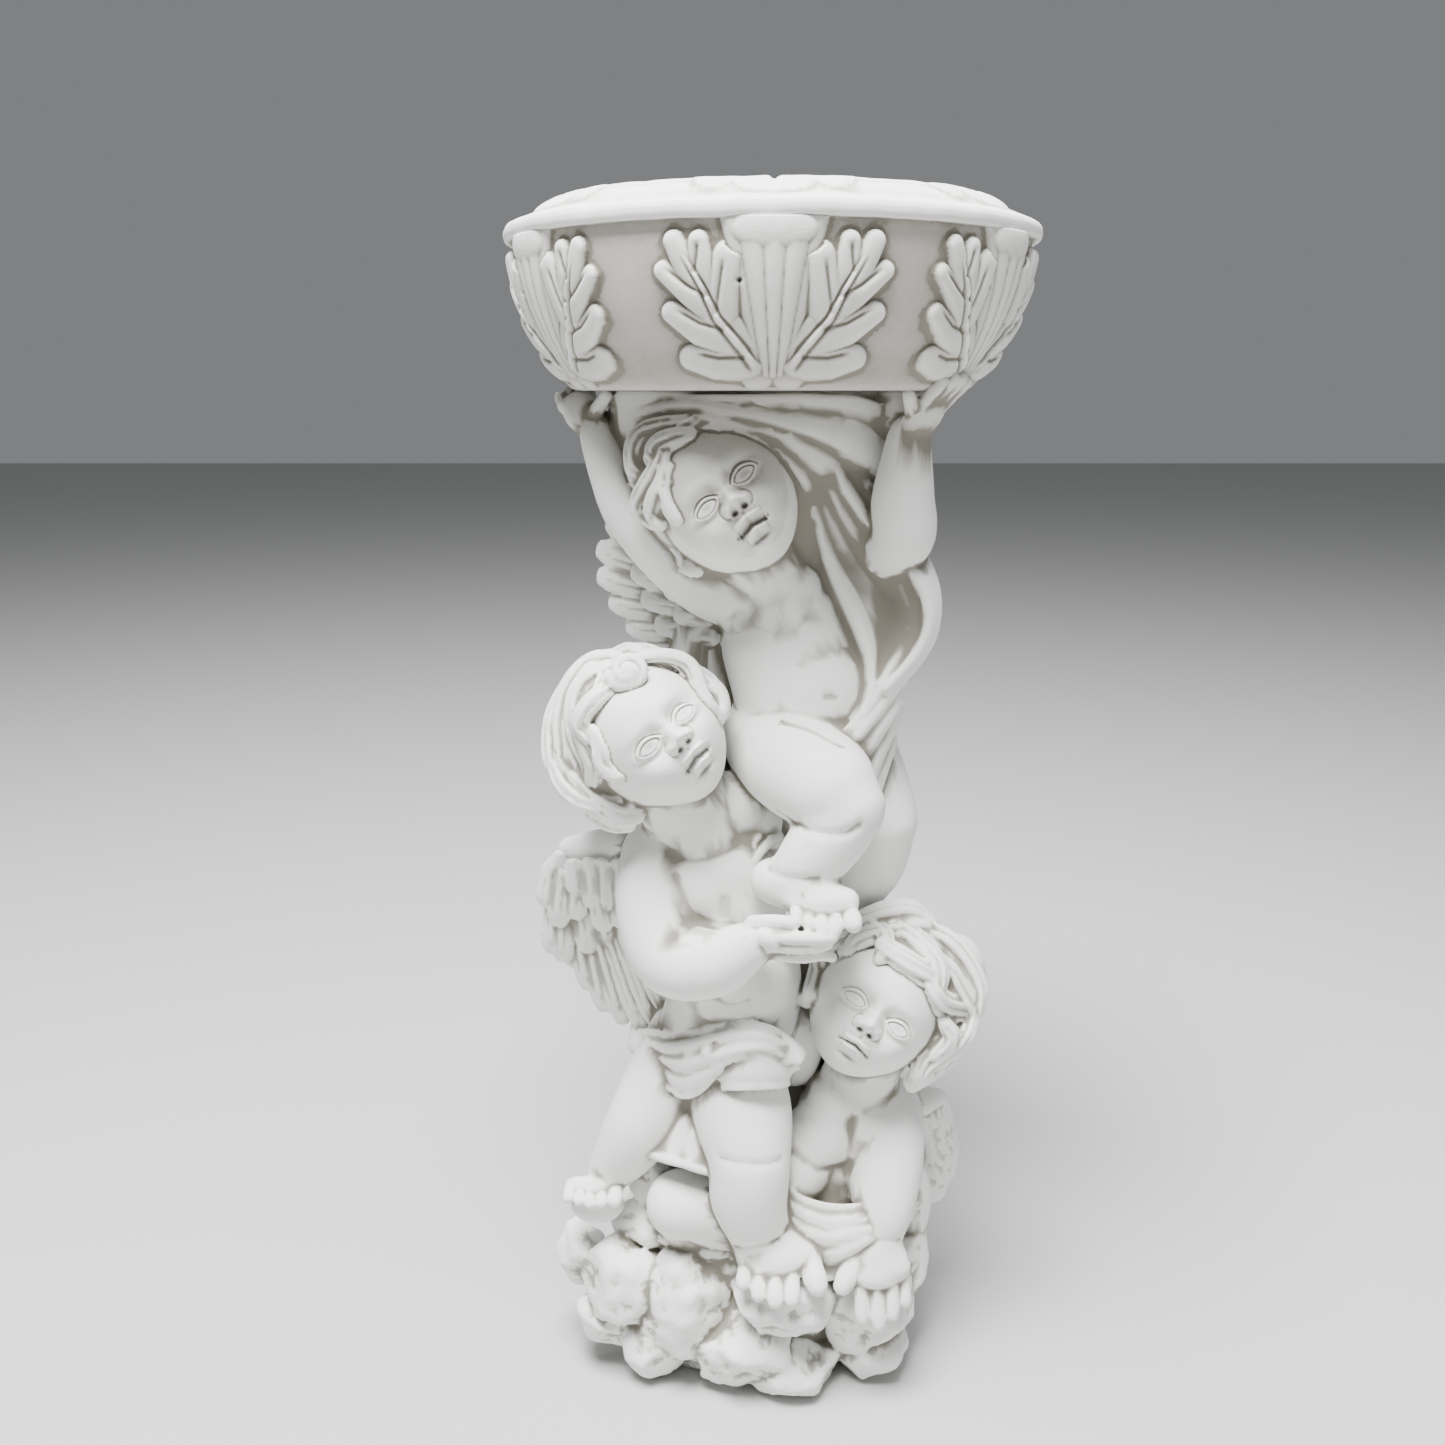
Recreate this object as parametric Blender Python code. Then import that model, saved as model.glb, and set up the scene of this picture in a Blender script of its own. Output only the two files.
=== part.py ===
"""Garden birdbath: three cherubs climbing a rock base carry a round leaf-carved basin.

Two castings: the pedestal (rocks, cherubs, wings and drapery in one) and the basin that
rests on it. Metres, +Z up, the front looks along -Y, the origin is under the basin's centre
at ground level.
"""

import math

import bmesh
import bpy
import numpy as np
from mathutils import Euler, Matrix, Vector

# Driving sizes, in metres
PEDESTAL_HEIGHT = 0.800       # ground to the seat under the basin
BASIN_HEIGHT = 0.132          # seat to the crest of the lip
LIP_UNDERSIDE = 0.105         # seat to the underside of the lip
BASIN_RADIUS = 0.198          # outer edge of the lip
BASIN_SEAT_RADIUS = 0.148     # flat underside of the basin
BASIN_CREST_RADIUS = 0.166    # top of the lip
BASIN_WALL = 0.013            # wall, floor and lip thickness
LEAF_RELIEF = 0.0045          # how far the carved leaves stand off the basin's wall
ROLL_RELIEF = 0.0070          # how far the rolled tip of each middle leaf does
LIP_OVERHANG = 0.003          # how far the lip stands out past the leaves under it
LEAF_CLUSTERS = 6
SEAT_GAP = 0.0003             # between basin and pedestal

# The cherubs' pose is written in millimetres of a pedestal this tall, and follows its height.
POSE_HEIGHT = 800.0
UNIT = PEDESTAL_HEIGHT / POSE_HEIGHT

# A head, in pose millimetres: half its width, depth and height
HEAD = Vector((51.0, 58.0, 63.0))

CARVING_VOXEL = 2.7           # pose millimetres
PEDESTAL_FACES = 6800
BASIN_FACES = 2800


def clear_scene():
    for old in list(bpy.data.objects):
        bpy.data.objects.remove(old)


def stone(name, colour):
    """Cast stone with a matt white wash."""
    made = bpy.data.materials.new(name)
    made.use_nodes = True
    shader = made.node_tree.nodes["Principled BSDF"]
    shader.inputs["Base Color"].default_value = (*colour, 1.0)
    shader.inputs["Roughness"].default_value = 0.8
    shader.inputs["Metallic"].default_value = 0.0
    return made


def object_from(bm, name, material=None):
    """Closes a bmesh as an object of the scene, with its faces pointing out."""
    bmesh.ops.recalc_face_normals(bm, faces=bm.faces)
    mesh = bpy.data.meshes.new(name)
    bm.to_mesh(mesh)
    bm.free()
    made = bpy.data.objects.new(name, mesh)
    bpy.context.scene.collection.objects.link(made)
    if material:
        mesh.materials.append(material)
    return made


def curve_through(rows, steps):
    """A smooth curve through rows of numbers, with that many steps between two rows."""
    rows = np.array(rows, float)
    ends = np.vstack([2 * rows[0] - rows[1], rows, 2 * rows[-1] - rows[-2]])
    made = []
    for a, b, c, d in zip(ends, ends[1:], ends[2:], ends[3:]):
        for t in np.arange(steps) / steps:
            made.append(
                0.5 * (2 * b + (c - a) * t + (2 * a - 5 * b + 4 * c - d) * t**2
                       + (3 * b - a - 3 * c + d) * t**3)
            )
    return np.array([*made, rows[-1]])


def ball(bm, centre, radii, turn=(0, 0, 0), finer=1):
    """An ellipsoid: centre and half sizes in pose millimetres, turn in degrees."""
    place = (
        Matrix.Translation(Vector(centre))
        @ Euler([math.radians(a) for a in turn]).to_matrix().to_4x4()
        @ Matrix.Diagonal((*radii, 1.0))
    )
    bmesh.ops.create_uvsphere(bm, u_segments=16 * finer, v_segments=10 * finer, radius=1, matrix=place)


def tube(bm, rows, flat=1.0, wide_along=(1, 0, 0), sides=14, steps=4):
    """A closed round-ended tube through rows of x, y, z and radius.

    It is as wide as its radius along wide_along, and flat times that across it.
    """
    line = curve_through(rows, steps)
    points, radii = line[:, :3], np.maximum(line[:, 3], 0.3)
    along = np.gradient(points, axis=0)
    along /= np.linalg.norm(along, axis=1, keepdims=True)
    rings = [(points[0] - along[0] * radii[0] * flat * s, along[0], radii[0] * math.sqrt(1 - s * s))
             for s in (0.92, 0.6)]
    rings += list(zip(points, along, radii))
    rings += [(points[-1] + along[-1] * radii[-1] * flat * s, along[-1], radii[-1] * math.sqrt(1 - s * s))
              for s in (0.6, 0.92)]
    loops = []
    for centre, direction, radius in rings:
        wide = np.array(wide_along, float)
        wide -= direction * (wide @ direction)
        wide /= np.linalg.norm(wide)
        thin = np.cross(direction, wide) * flat
        loops.append([
            bm.verts.new(centre + radius * (wide * math.cos(a) + thin * math.sin(a)))
            for a in np.arange(sides) * math.tau / sides
        ])
    for low, high in zip(loops, loops[1:]):
        for i in range(sides):
            j = (i + 1) % sides
            bm.faces.new((low[i], low[j], high[j], high[i]))
    bm.faces.new(loops[0][::-1])
    bm.faces.new(loops[-1])


def cloth(bm, left, right, crown=(6,), folds=3, depth=(4,), thick=9.0, steps=4, across=36):
    """A closed slab of cloth between two edges, crowned in its middle and pleated along its length.

    Seen from outside, with the edges running down, left and right are the viewer's. Crown and
    depth of the pleats are values spaced evenly along it.
    """
    a, b = curve_through(left, steps), curve_through(right, steps)
    middle = 0.5 * (a + b)
    along = np.gradient(middle, axis=0)
    out = np.cross(along, b - a)
    out /= np.linalg.norm(out, axis=1, keepdims=True)
    share = np.linspace(0, 1, across)
    arch = np.sin(math.pi * share)
    pleats = np.abs(np.sin(math.pi * folds * share)) - 0.5
    rows = np.linspace(0, 1, len(a))
    crowns = np.interp(rows, np.linspace(0, 1, len(crown)), crown)
    depths = np.interp(rows, np.linspace(0, 1, len(depth)), depth)
    top, under = [], []
    for p, q, n, high, deep in zip(a, b, out, crowns, depths):
        spots = p + (q - p) * share[:, None]
        top.append([bm.verts.new(v) for v in spots + n * (high * arch + deep * pleats)[:, None]])
        under.append([bm.verts.new(v) for v in spots + n * (np.minimum(high, 0) * arch - thick)[:, None]])
    for sheet in (top, [row[::-1] for row in under]):
        for low, high in zip(sheet, sheet[1:]):
            for i in range(across - 1):
                bm.faces.new((low[i], high[i], high[i + 1], low[i + 1]))
    rims = [
        [*sheet[0], *[row[-1] for row in sheet[1:-1]], *sheet[-1][::-1], *[row[0] for row in sheet[-2:0:-1]]]
        for sheet in (top, under)
    ]
    for i in range(len(rims[0])):
        j = (i + 1) % len(rims[0])
        bm.faces.new((rims[0][i], rims[0][j], rims[1][j], rims[1][i]))


def hill(x, z, centre_x, centre_z, wide, high):
    """A smooth round rise of height 1."""
    return np.exp(-((x - centre_x) / wide) ** 2 - ((z - centre_z) / high) ** 2)


def eye_shape(x, z):
    """0 in the middle of the eye and 1 on the edge of its lids."""
    return np.hypot((np.abs(x) - 19.5) / 10.5, z / (6.2 - 0.05 * np.abs(np.abs(x) - 19.5) ** 1.6))


def face_relief(x, z):
    """How far a putto's face stands out at x across and z up from its eye line, in millimetres."""
    side = np.abs(x)
    eye = eye_shape(x, z)
    nose = np.clip((6 - z) / 20, 0, 1)
    mouth = -33.5 - 0.006 * side**2 + 0.9 * np.exp(-((side / 3.0) ** 2))
    lips = np.clip(1 - (side / 13.5) ** 2, 0, 1)
    return (
        3.5 * hill(x, z, 0, 30, 30, 20)
        + 1.8 * hill(side, z, 19, 14, 13, 5)
        - 7.0 * hill(side, z, 17.5, 1, 12, 9)
        + 5.0 * np.sqrt(np.clip(1.15 - eye**2, 0, 1))
        + 1.5 * np.exp(-(((eye - 1.12) / 0.16) ** 2))
        + (2.5 + 6.5 * nose) * np.exp(-((side / (4.0 + 2.0 * nose)) ** 2)) * hill(0, z, 0, -5, 1, 14)
        + 6.5 * hill(x, z, 0, -14.5, 6.5, 5.5)
        + 4.2 * hill(side, z, 7.0, -16.5, 3.8, 4.0)
        - 3.0 * hill(side, z, 3.8, -21.0, 2.4, 1.8)
        + 5.0 * hill(side, z, 28, -24, 15, 15)
        + 5.0 * hill(x, z, 0, -35, 16, 12)
        + 2.8 * lips * np.exp(-(((z - mouth - 3.2) / 2.6) ** 2))
        + 3.2 * lips * np.exp(-(((z - mouth + 3.8) / 3.0) ** 2))
        - 3.2 * lips**0.5 * np.exp(-(((z - mouth) / 1.3) ** 2))
        - 1.5 * hill(x, z, 0, -45, 9, 3.0)
        + 5.5 * hill(x, z, 0, -54, 13, 8)
    )


def head_frame(centre, tilt, nod, turn):
    """Places a head that faces -Y: tilted on its own face, then nodding up, then turned."""
    spin = (
        Matrix.Rotation(math.radians(turn), 4, "Z")
        @ Matrix.Rotation(math.radians(-nod), 4, "X")
        @ Matrix.Rotation(math.radians(-tilt), 4, "Y")
    )
    return Matrix.Translation(Vector(centre)) @ spin


def head(bm, frame):
    """A chubby child's head with its face carved in."""
    made = bmesh.ops.create_uvsphere(bm, u_segments=96, v_segments=72, radius=1)["verts"]
    unit = np.array([v.co for v in made])
    x, y, z = (unit * np.array(HEAD)).T
    jaw = np.clip(-z / HEAD.z, 0, 1)
    x *= 1 - 0.16 * jaw**2
    y = np.where(y > 0, y * (1 - 0.35 * jaw), y * (1 - 0.10 * jaw))
    front = np.clip(-unit[:, 1] * 1.6, 0, 1)
    y -= front * face_relief(x, z)
    for v, *place in zip(made, x, y, z):
        v.co = frame @ Vector(place)
    for side in (-1, 1):
        ball(bm, frame @ Vector((side * (HEAD.x - 1), 8, -8)), (7, 9, 12))


def scalp(down, around, lift):
    """The point of the skull at an angle down from the crown and a bearing round it; 0 is the back."""
    return Vector((
        (HEAD.x + lift) * math.sin(down) * math.sin(around),
        (HEAD.y + lift) * math.sin(down) * math.cos(around),
        (HEAD.z + lift) * math.cos(down),
    ))


def hairline(around):
    """How far down from the crown, in radians, the hair falls at a bearing round the head."""
    from_front = abs(abs(math.degrees(around)) - 180)
    side = min(max((from_front - 46) / 32, 0.0), 1.0)
    return 0.84 + 1.15 * side * side * (3 - 2 * side)


def locks(bm, frame, count, seed, thick=9.0, swell=(0, 0, 0)):
    """Thick wavy locks from the crown over the scalp, standing further off on the side of swell."""
    rng = np.random.default_rng(seed)
    swell = Vector(swell)
    ball(bm, frame @ (Vector((0, 12, 12)) + swell * 0.4), (HEAD.x + 2, HEAD.y - 8, HEAD.z - 9))
    for layer, (first, last) in enumerate(((0.15, 0.62), (0.45, 1.0))):
        for i in range(count):
            around = math.tau * (i + 0.5 * layer + rng.uniform(-0.15, 0.15)) / count - math.pi
            fall = hairline(around)
            wave = rng.uniform(0, math.tau)
            rows = []
            for step in range(7):
                share = step / 6
                down = fall * (first + (last - first) * share)
                sway = 0.16 * math.sin(wave + 5.0 * share) * (0.4 + share)
                spot = scalp(down, around + sway, 4 - 3 * layer + 2 * math.sin(wave + 8 * share))
                off = max(spot.normalized().dot(swell.normalized()), 0) if swell.length else 0
                spot += swell * off
                swollen = math.sin(math.pi * (0.15 + 0.75 * share))
                rows.append((*(frame @ spot), thick * (0.55 + 0.5 * swollen)))
            tube(bm, rows, sides=10, steps=3)


def curl(bm, centre, radius, thick, face=(0, -1, 0), turns=1.6):
    """A lock rolled into a flat spiral, facing the given way."""
    spin = Vector(face).to_track_quat("Z", "Y").to_matrix()
    rows = []
    for i in range(13):
        share = i / 12
        angle = math.tau * turns * share
        reach = radius * (1 - 0.85 * share)
        spot = Vector(centre) + spin @ Vector((reach * math.cos(angle), reach * math.sin(angle), 3 * share))
        rows.append((*spot, thick * (1 - 0.35 * share)))
    tube(bm, rows, sides=8, steps=2, wide_along=(0.3, 0.2, 1))


def feather(bm, root, tip, width, normal):
    """A flat blade with a round tip, widest past its middle."""
    root, tip = np.array(root, float), np.array(tip, float)
    shape = ((0, 0.6), (0.45, 0.9), (0.8, 1.0), (0.97, 0.6))
    rows = [(*(root + (tip - root) * share), width * wide) for share, wide in shape]
    across = np.cross(tip - root, np.array(normal, float))
    tube(bm, rows, flat=0.38, wide_along=across, sides=8, steps=2)


def wing(bm, arm, tips, normal, blades=8):
    """Three rows of feathers from a fleshy arm to the line of tips."""
    tube(bm, arm, flat=0.8, sides=10)
    normal = np.array(normal, float) / np.linalg.norm(normal)
    roots = curve_through([row[:3] for row in arm], 8)
    ends = curve_through(tips, 8)
    for row, (share, lift, extra) in enumerate(((1.0, 0.0, 1.0), (0.66, 4.0, 1.0), (0.38, 7.5, 0.9))):
        for i in range(blades):
            s = (i + 0.5 * (row % 2)) / (blades - 0.5)
            root = roots[round(s * (len(roots) - 1))] + normal * lift
            end = ends[round(s * (len(ends) - 1))]
            tip = root + (end - root) * share + normal * lift * 0.3
            spread = np.linalg.norm(ends[-1] - ends[0]) / blades
            feather(bm, root, tip, (0.75 * spread + 2.5) * extra, normal)


def hand(bm, wrist, knuckles, tips, palm_across, thumb, size=1.0):
    """A plump hand: a palm from wrist to knuckles, four fingers fanned along palm_across and a thumb."""
    wrist, knuckles, tips, across = (np.array(p, float) for p in (wrist, knuckles, tips, palm_across))
    across /= np.linalg.norm(across)
    tube(bm, [(*wrist, 12 * size), (*(0.5 * (wrist + knuckles)), 17 * size), (*knuckles, 15 * size)],
         flat=0.62, wide_along=across, sides=12)
    for place in (-1.5, -0.5, 0.5, 1.5):
        knuckle = knuckles + across * place * 7.0 * size
        tip = tips + across * place * 8.5 * size - (tips - knuckles) * 0.06 * place**2
        middle = 0.5 * (knuckle + tip)
        tube(bm, [(*knuckle, 5.2 * size), (*middle, 5.0 * size), (*tip, 4.0 * size)],
             wide_along=across, sides=8, steps=2)
    tube(bm, [(*(wrist + 0.3 * (knuckles - wrist)), 7 * size), (*thumb, 4.6 * size)],
         wide_along=across, sides=8, steps=3)


def foot(bm, heel, ball_of_foot, toes, across, size=1.0):
    """A plump foot: heel, instep, and five toes in a row along across, the great toe last."""
    heel, front, tips, across = (np.array(p, float) for p in (heel, ball_of_foot, toes, across))
    across /= np.linalg.norm(across)
    tube(bm, [(*heel, 15 * size), (*(0.5 * (heel + front)), 17 * size), (*front, 20 * size)],
         flat=0.62, wide_along=across, sides=12)
    for i, place in enumerate((-1.9, -1.05, -0.2, 0.65, 1.7)):
        radius = (4.4, 4.6, 4.9, 5.2, 7.0)[i] * size
        start = front + across * place * 8.0 * size
        tip = tips + across * place * 9.0 * size - (tips - front) * 0.10 * abs(place - 0.6)
        tube(bm, [(*start, radius), (*tip, radius)], wide_along=across, sides=8, steps=2)


def limb(bm, *rows, flat=1.0, wide_along=(1, 0.2, 0.1)):
    tube(bm, rows, flat=flat, wide_along=wide_along, sides=14)


def bearer(bm):
    """The top cherub: arms up under the basin, one foot in the hand of the next."""
    frame = head_frame((-30, -62, 722), tilt=40, nod=2, turn=8)
    head(bm, frame)
    locks(bm, frame, count=9, seed=1, swell=(-5, 2, 7))
    limb(bm, (-12, -52, 682, 27), (2, -40, 655, 26), (8, -32, 630, 30))
    limb(bm, (4, -24, 646, 40), (12, -26, 622, 51), (22, -32, 592, 53), (30, -36, 566, 55),
         (32, -26, 532, 52), flat=0.80)
    ball(bm, (32, -54, 574), (42, 33, 40))
    ball(bm, (6, -42, 634), (47, 26, 25), turn=(0, 8, 0))
    # its right arm, at the viewer's left, and its left
    limb(bm, (-32, -28, 642, 31), (-62, -32, 664, 29), (-100, -36, 700, 24), (-116, -28, 735, 20),
         (-130, -18, 768, 15))
    limb(bm, (48, -18, 650, 28), (72, -40, 675, 27), (94, -62, 690, 25), (95, -70, 725, 23),
         (97, -78, 768, 16))
    hand(bm, (-132, -16, 772), (-146, -8, 791), (-152, 28, 801), (0.75, 0.3, 0.25), (-122, -34, 796))
    hand(bm, (98, -80, 770), (110, -92, 790), (127, -104, 809), (0.75, 0.62, 0.0), (92, -108, 797))
    # its right leg, bent forwards, and its left, behind
    limb(bm, (2, -34, 536, 38), (20, -68, 526, 41), (42, -98, 514, 37), (56, -110, 501, 29))
    limb(bm, (55, -109, 501, 28), (42, -108, 478, 27), (24, -108, 452, 23), (12, -106, 436, 18))
    foot(bm, (2, -100, 429), (30, -124, 432), (54, -140, 422), (0.62, -0.45, -0.05), size=0.95)
    limb(bm, (52, -10, 540, 40), (70, -18, 505, 39), (88, -32, 470, 32))
    limb(bm, (88, -32, 468, 30), (84, -24, 432, 28), (76, -6, 398, 21), (70, 2, 370, 18))
    wing(bm, [(-50, 14, 648, 10), (-52, 16, 626, 11), (-48, 18, 596, 9), (-40, 20, 572, 7)],
         [(-132, 24, 700), (-137, 28, 676), (-133, 30, 650), (-120, 32, 620), (-104, 32, 600),
          (-72, 30, 566)],
         normal=(-0.35, -1, 0.1), blades=7)
    wing(bm, [(48, 40, 640, 10), (70, 52, 650, 11), (92, 56, 640, 8)],
         [(100, 50, 690), (108, 52, 655), (106, 54, 610), (94, 56, 560), (74, 56, 530)],
         normal=(0.3, 1, 0.1), blades=7)


def veil(bm):
    """The bearer's cloth: gathered under the basin, down its side, and round its hip to its thigh."""
    limb(bm, (60, -30, 786, 24), (96, -50, 786, 22))
    cloth(bm, [(-98, -36, 764), (-62, -62, 773), (-20, -78, 770), (18, -72, 754), (68, -58, 750)],
          [(-99, -46, 796), (-58, -70, 796), (-20, -82, 797), (24, -84, 797), (76, -70, 797)],
          crown=(5, 10, 12, 14, 8), folds=3, depth=(3, 5, 5), thick=30)
    cloth(bm, [(-16, -76, 772), (10, -72, 752), (22, -66, 730), (28, -62, 705), (39, -58, 680),
               (50, -60, 655), (62, -66, 631), (73, -72, 606), (78, -68, 588)],
          [(76, -66, 790), (77, -56, 753), (77, -50, 731), (80, -46, 702), (92, -50, 678), (111, -60, 662),
           (124, -66, 634), (119, -70, 611), (102, -68, 595)],
          crown=(10, 8, 7, 5, 2, -8, -12, -8, 0), folds=4, depth=(5, 6, 6, 5, 4), thick=16)
    tube(bm, [(88, -56, 680, 5), (106, -64, 668, 5), (121, -68, 646, 5), (124, -70, 626, 5),
              (114, -74, 606, 5), (96, -74, 592, 6)], sides=10)
    cloth(bm, [(78, -74, 600), (76, -84, 585), (72, -88, 569), (64, -94, 555), (54, -98, 546),
               (42, -96, 538)],
          [(112, -62, 612), (106, -60, 588), (102, -58, 570), (98, -58, 552), (89, -64, 530),
           (66, -84, 500)],
          crown=(5, 7, 8, 8, 6), folds=3, depth=(4, 5, 5, 3), thick=24)
    tube(bm, [(96, -30, 600, 20), (98, -30, 570, 17), (94, -32, 535, 14), (90, -36, 500, 9)], sides=12)


def backing(bm):
    """The cloth and rock that fill the group behind the cherubs, and carry the basin."""
    tube(bm, [(-20, 0, 60, 92), (-4, 12, 170, 84), (2, 18, 280, 80), (-4, 20, 400, 66), (6, 18, 500, 62),
              (10, 14, 600, 64), (0, -2, 690, 84), (-6, -6, 755, 110), (-6, -6, 795, 118)],
         flat=0.64, sides=28)
    tube(bm, [(-40, 0, 470, 30), (-48, 4, 560, 32), (-44, 2, 640, 30)], sides=14)
    falls = ((790, 1.45, 0, 46), (650, 1.0, 8, 50), (520, 0.8, 8, 56), (380, 1.0, -2, 62),
             (240, 1.35, 0, 66))
    for lean in range(-51, 52, 17):
        fold = [(x + lean * spread, y - abs(lean) * 0.3, z, 10) for z, spread, x, y in falls]
        tube(bm, fold, sides=10)


def offerer(bm):
    """The middle cherub: standing, wrapped at the hips, holding the bearer's foot up."""
    frame = head_frame((-90, -78, 545), tilt=38, nod=24, turn=30)
    head(bm, frame)
    locks(bm, frame, count=10, seed=2, swell=(-13, 8, 5))
    curl(bm, (-101, -112, 602), radius=13, thick=5.5, face=(0.1, -1, 0.35))
    limb(bm, (-76, -66, 500, 27), (-62, -58, 478, 27), (-52, -54, 452, 30))
    limb(bm, (-48, -48, 456, 42), (-42, -52, 428, 50), (-32, -58, 385, 49), (-26, -58, 335, 52),
         (-36, -48, 288, 54), flat=0.82)
    ball(bm, (-22, -80, 352), (42, 33, 42))
    ball(bm, (-40, -70, 432), (44, 28, 24))
    limb(bm, (-82, -58, 450, 30), (-87, -76, 416, 31), (-76, -98, 378, 29), (-44, -112, 381, 27),
         (-12, -126, 399, 18))
    hand(bm, (-6, -126, 400), (18, -134, 405), (48, -140, 409), (-0.1, -0.7, 0.45), (30, -150, 424))
    limb(bm, (-18, -34, 448, 30), (2, -28, 420, 28), (20, -10, 392, 24))
    limb(bm, (-58, -38, 285, 38), (-80, -52, 252, 36), (-98, -62, 226, 30), (-112, -60, 200, 27),
         (-128, -54, 172, 19))
    foot(bm, (-134, -46, 158), (-138, -70, 158), (-143, -88, 165), (1, -0.1, 0.0), size=0.85)
    limb(bm, (-30, -62, 275, 40), (-20, -86, 238, 39), (-15, -102, 208, 31), (-15, -101, 178, 30),
         (-11, -96, 150, 24), (-10, -92, 130, 20))
    foot(bm, (-14, -84, 122), (-2, -112, 121), (8, -140, 115), (1, 0.05, 0.0), size=1.15)
    wing(bm, [(-92, -20, 430, 14), (-112, -22, 445, 15), (-136, -22, 450, 14), (-158, -14, 436, 10)],
         [(-94, 2, 280), (-118, 0, 284), (-140, -2, 304), (-164, -4, 334), (-180, -6, 356), (-186, -8, 388),
          (-184, -10, 412)],
         normal=(-0.25, -1, 0.1), blades=9)
    wing(bm, [(-20, 10, 440, 11), (2, 0, 462, 11), (18, 8, 480, 8)],
         [(-20, 60, 330), (10, 66, 350), (34, 60, 390), (42, 46, 430), (30, 20, 470)],
         normal=(0.2, 1, 0.1), blades=7)


def loincloth(bm):
    """The middle cherub's cloth: rolled at the waist, with a flap over each thigh and a tail."""
    cloth(bm, [(-102, -26, 252), (-74, -84, 282), (-45, -108, 304), (-17, -112, 312), (10, -98, 298)],
          [(-104, -24, 286), (-76, -72, 314), (-45, -98, 326), (-17, -102, 326), (8, -90, 310)],
          crown=(6,), folds=2, depth=(3, 3, 2), thick=22)
    tube(bm, [(-94, -48, 256, 8), (-68, -94, 280, 10), (-49, -112, 296, 10), (-32, -118, 309, 9),
              (-9, -117, 317, 9), (12, -104, 304, 10), (30, -84, 277, 9)], sides=12)
    tube(bm, [(-88, -54, 250, 7), (-64, -98, 272, 8), (-45, -114, 288, 8), (-28, -120, 301, 7),
              (-9, -118, 306, 7), (8, -106, 298, 6)], sides=12)
    cloth(bm, [(-80, -62, 243), (-69, -98, 256), (-54, -112, 270), (-42, -114, 284)],
          [(-86, -54, 258), (-64, -94, 280), (-45, -110, 292), (-28, -114, 304)],
          crown=(6, 7, 3), folds=1, depth=(0,), thick=20)
    cloth(bm, [(-44, -112, 273), (-24, -122, 279), (-6, -120, 278), (15, -98, 264)],
          [(-36, -110, 300), (-21, -116, 308), (-6, -114, 310), (13, -98, 294)],
          crown=(4, 5, 4), folds=1, depth=(0,), thick=24)
    tube(bm, [(16, -96, 300, 10), (26, -86, 284, 12), (24, -80, 268, 9)], sides=10)
    limb(bm, (-104, -18, 268, 12), (-96, 18, 274, 14), (-60, 46, 280, 14))


def kneeler(bm):
    """The low cherub: kneeling behind the others, a hand on the rock and cloth over its lap."""
    frame = head_frame((86, -62, 322), tilt=-36, nod=16, turn=-9)
    head(bm, frame)
    locks(bm, frame, count=10, seed=3, thick=10, swell=(10, 2, 24))
    limb(bm, (80, -54, 272, 27), (74, -48, 246, 26), (70, -44, 226, 30))
    limb(bm, (70, -36, 226, 42), (68, -40, 200, 48), (54, -36, 155, 50), (34, -30, 120, 52), flat=0.8)
    ball(bm, (44, -62, 206), (29, 26, 28), turn=(0, -14, 0))
    ball(bm, (88, -58, 214), (32, 28, 27))
    limb(bm, (34, -46, 210, 26), (20, -56, 186, 26), (6, -62, 160, 22), (-10, -64, 140, 18))
    limb(bm, (100, -48, 224, 28), (99, -64, 206, 28), (96, -78, 182, 26), (93, -90, 156, 22),
         (90, -98, 136, 16))
    hand(bm, (90, -98, 134), (90, -112, 116), (92, -122, 86), (1, 0.1, 0.1), (58, -122, 108), size=1.05)
    limb(bm, (16, -36, 130, 38), (-26, -62, 142, 38), (-58, -82, 158, 34))
    ball(bm, (-68, -84, 160), (33, 30, 33))
    limb(bm, (-66, -76, 150, 27), (-60, -60, 118, 26))
    limb(bm, (46, -20, 124, 38), (80, -10, 120, 36), (100, 10, 112, 30))
    wing(bm, [(108, -26, 210, 12), (124, -20, 216, 12), (142, -10, 214, 10), (150, -4, 194, 8)],
         [(154, -10, 188), (157, -8, 168), (155, -6, 142), (144, -4, 116), (126, 2, 100)],
         normal=(0.7, -0.8, 0.1), blades=6)
    wing(bm, [(60, 20, 226, 11), (72, 46, 236, 11), (86, 62, 224, 8)],
         [(104, 56, 190), (112, 58, 160), (108, 62, 128), (90, 68, 104), (70, 72, 98)],
         normal=(0.2, 1, 0.1), blades=6)


def lap_cloth(bm):
    """The low cherub's cloth: slung over its lap and wrist, and over its raised thigh."""
    cloth(bm, [(4, -84, 146), (24, -104, 129), (40, -114, 124), (53, -116, 125), (72, -115, 134),
               (94, -106, 140), (124, -72, 142)],
          [(4, -80, 186), (24, -94, 177), (40, -100, 173), (63, -104, 173), (91, -102, 175),
           (113, -84, 176), (128, -62, 178)],
          crown=(6, 8, 9, 8, 6), folds=4, depth=(4, 5, 5, 4), thick=30)
    tube(bm, [(118, -62, 172, 14), (124, -54, 146, 14), (120, -50, 116, 14), (116, -48, 88, 13)], sides=12)
    cloth(bm, [(-94, -70, 197), (-84, -98, 212), (-64, -110, 211), (-42, -108, 195)],
          [(-84, -56, 222), (-72, -72, 232), (-56, -78, 236), (-36, -80, 222)],
          crown=(7,), folds=2, depth=(2,), thick=30)


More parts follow.
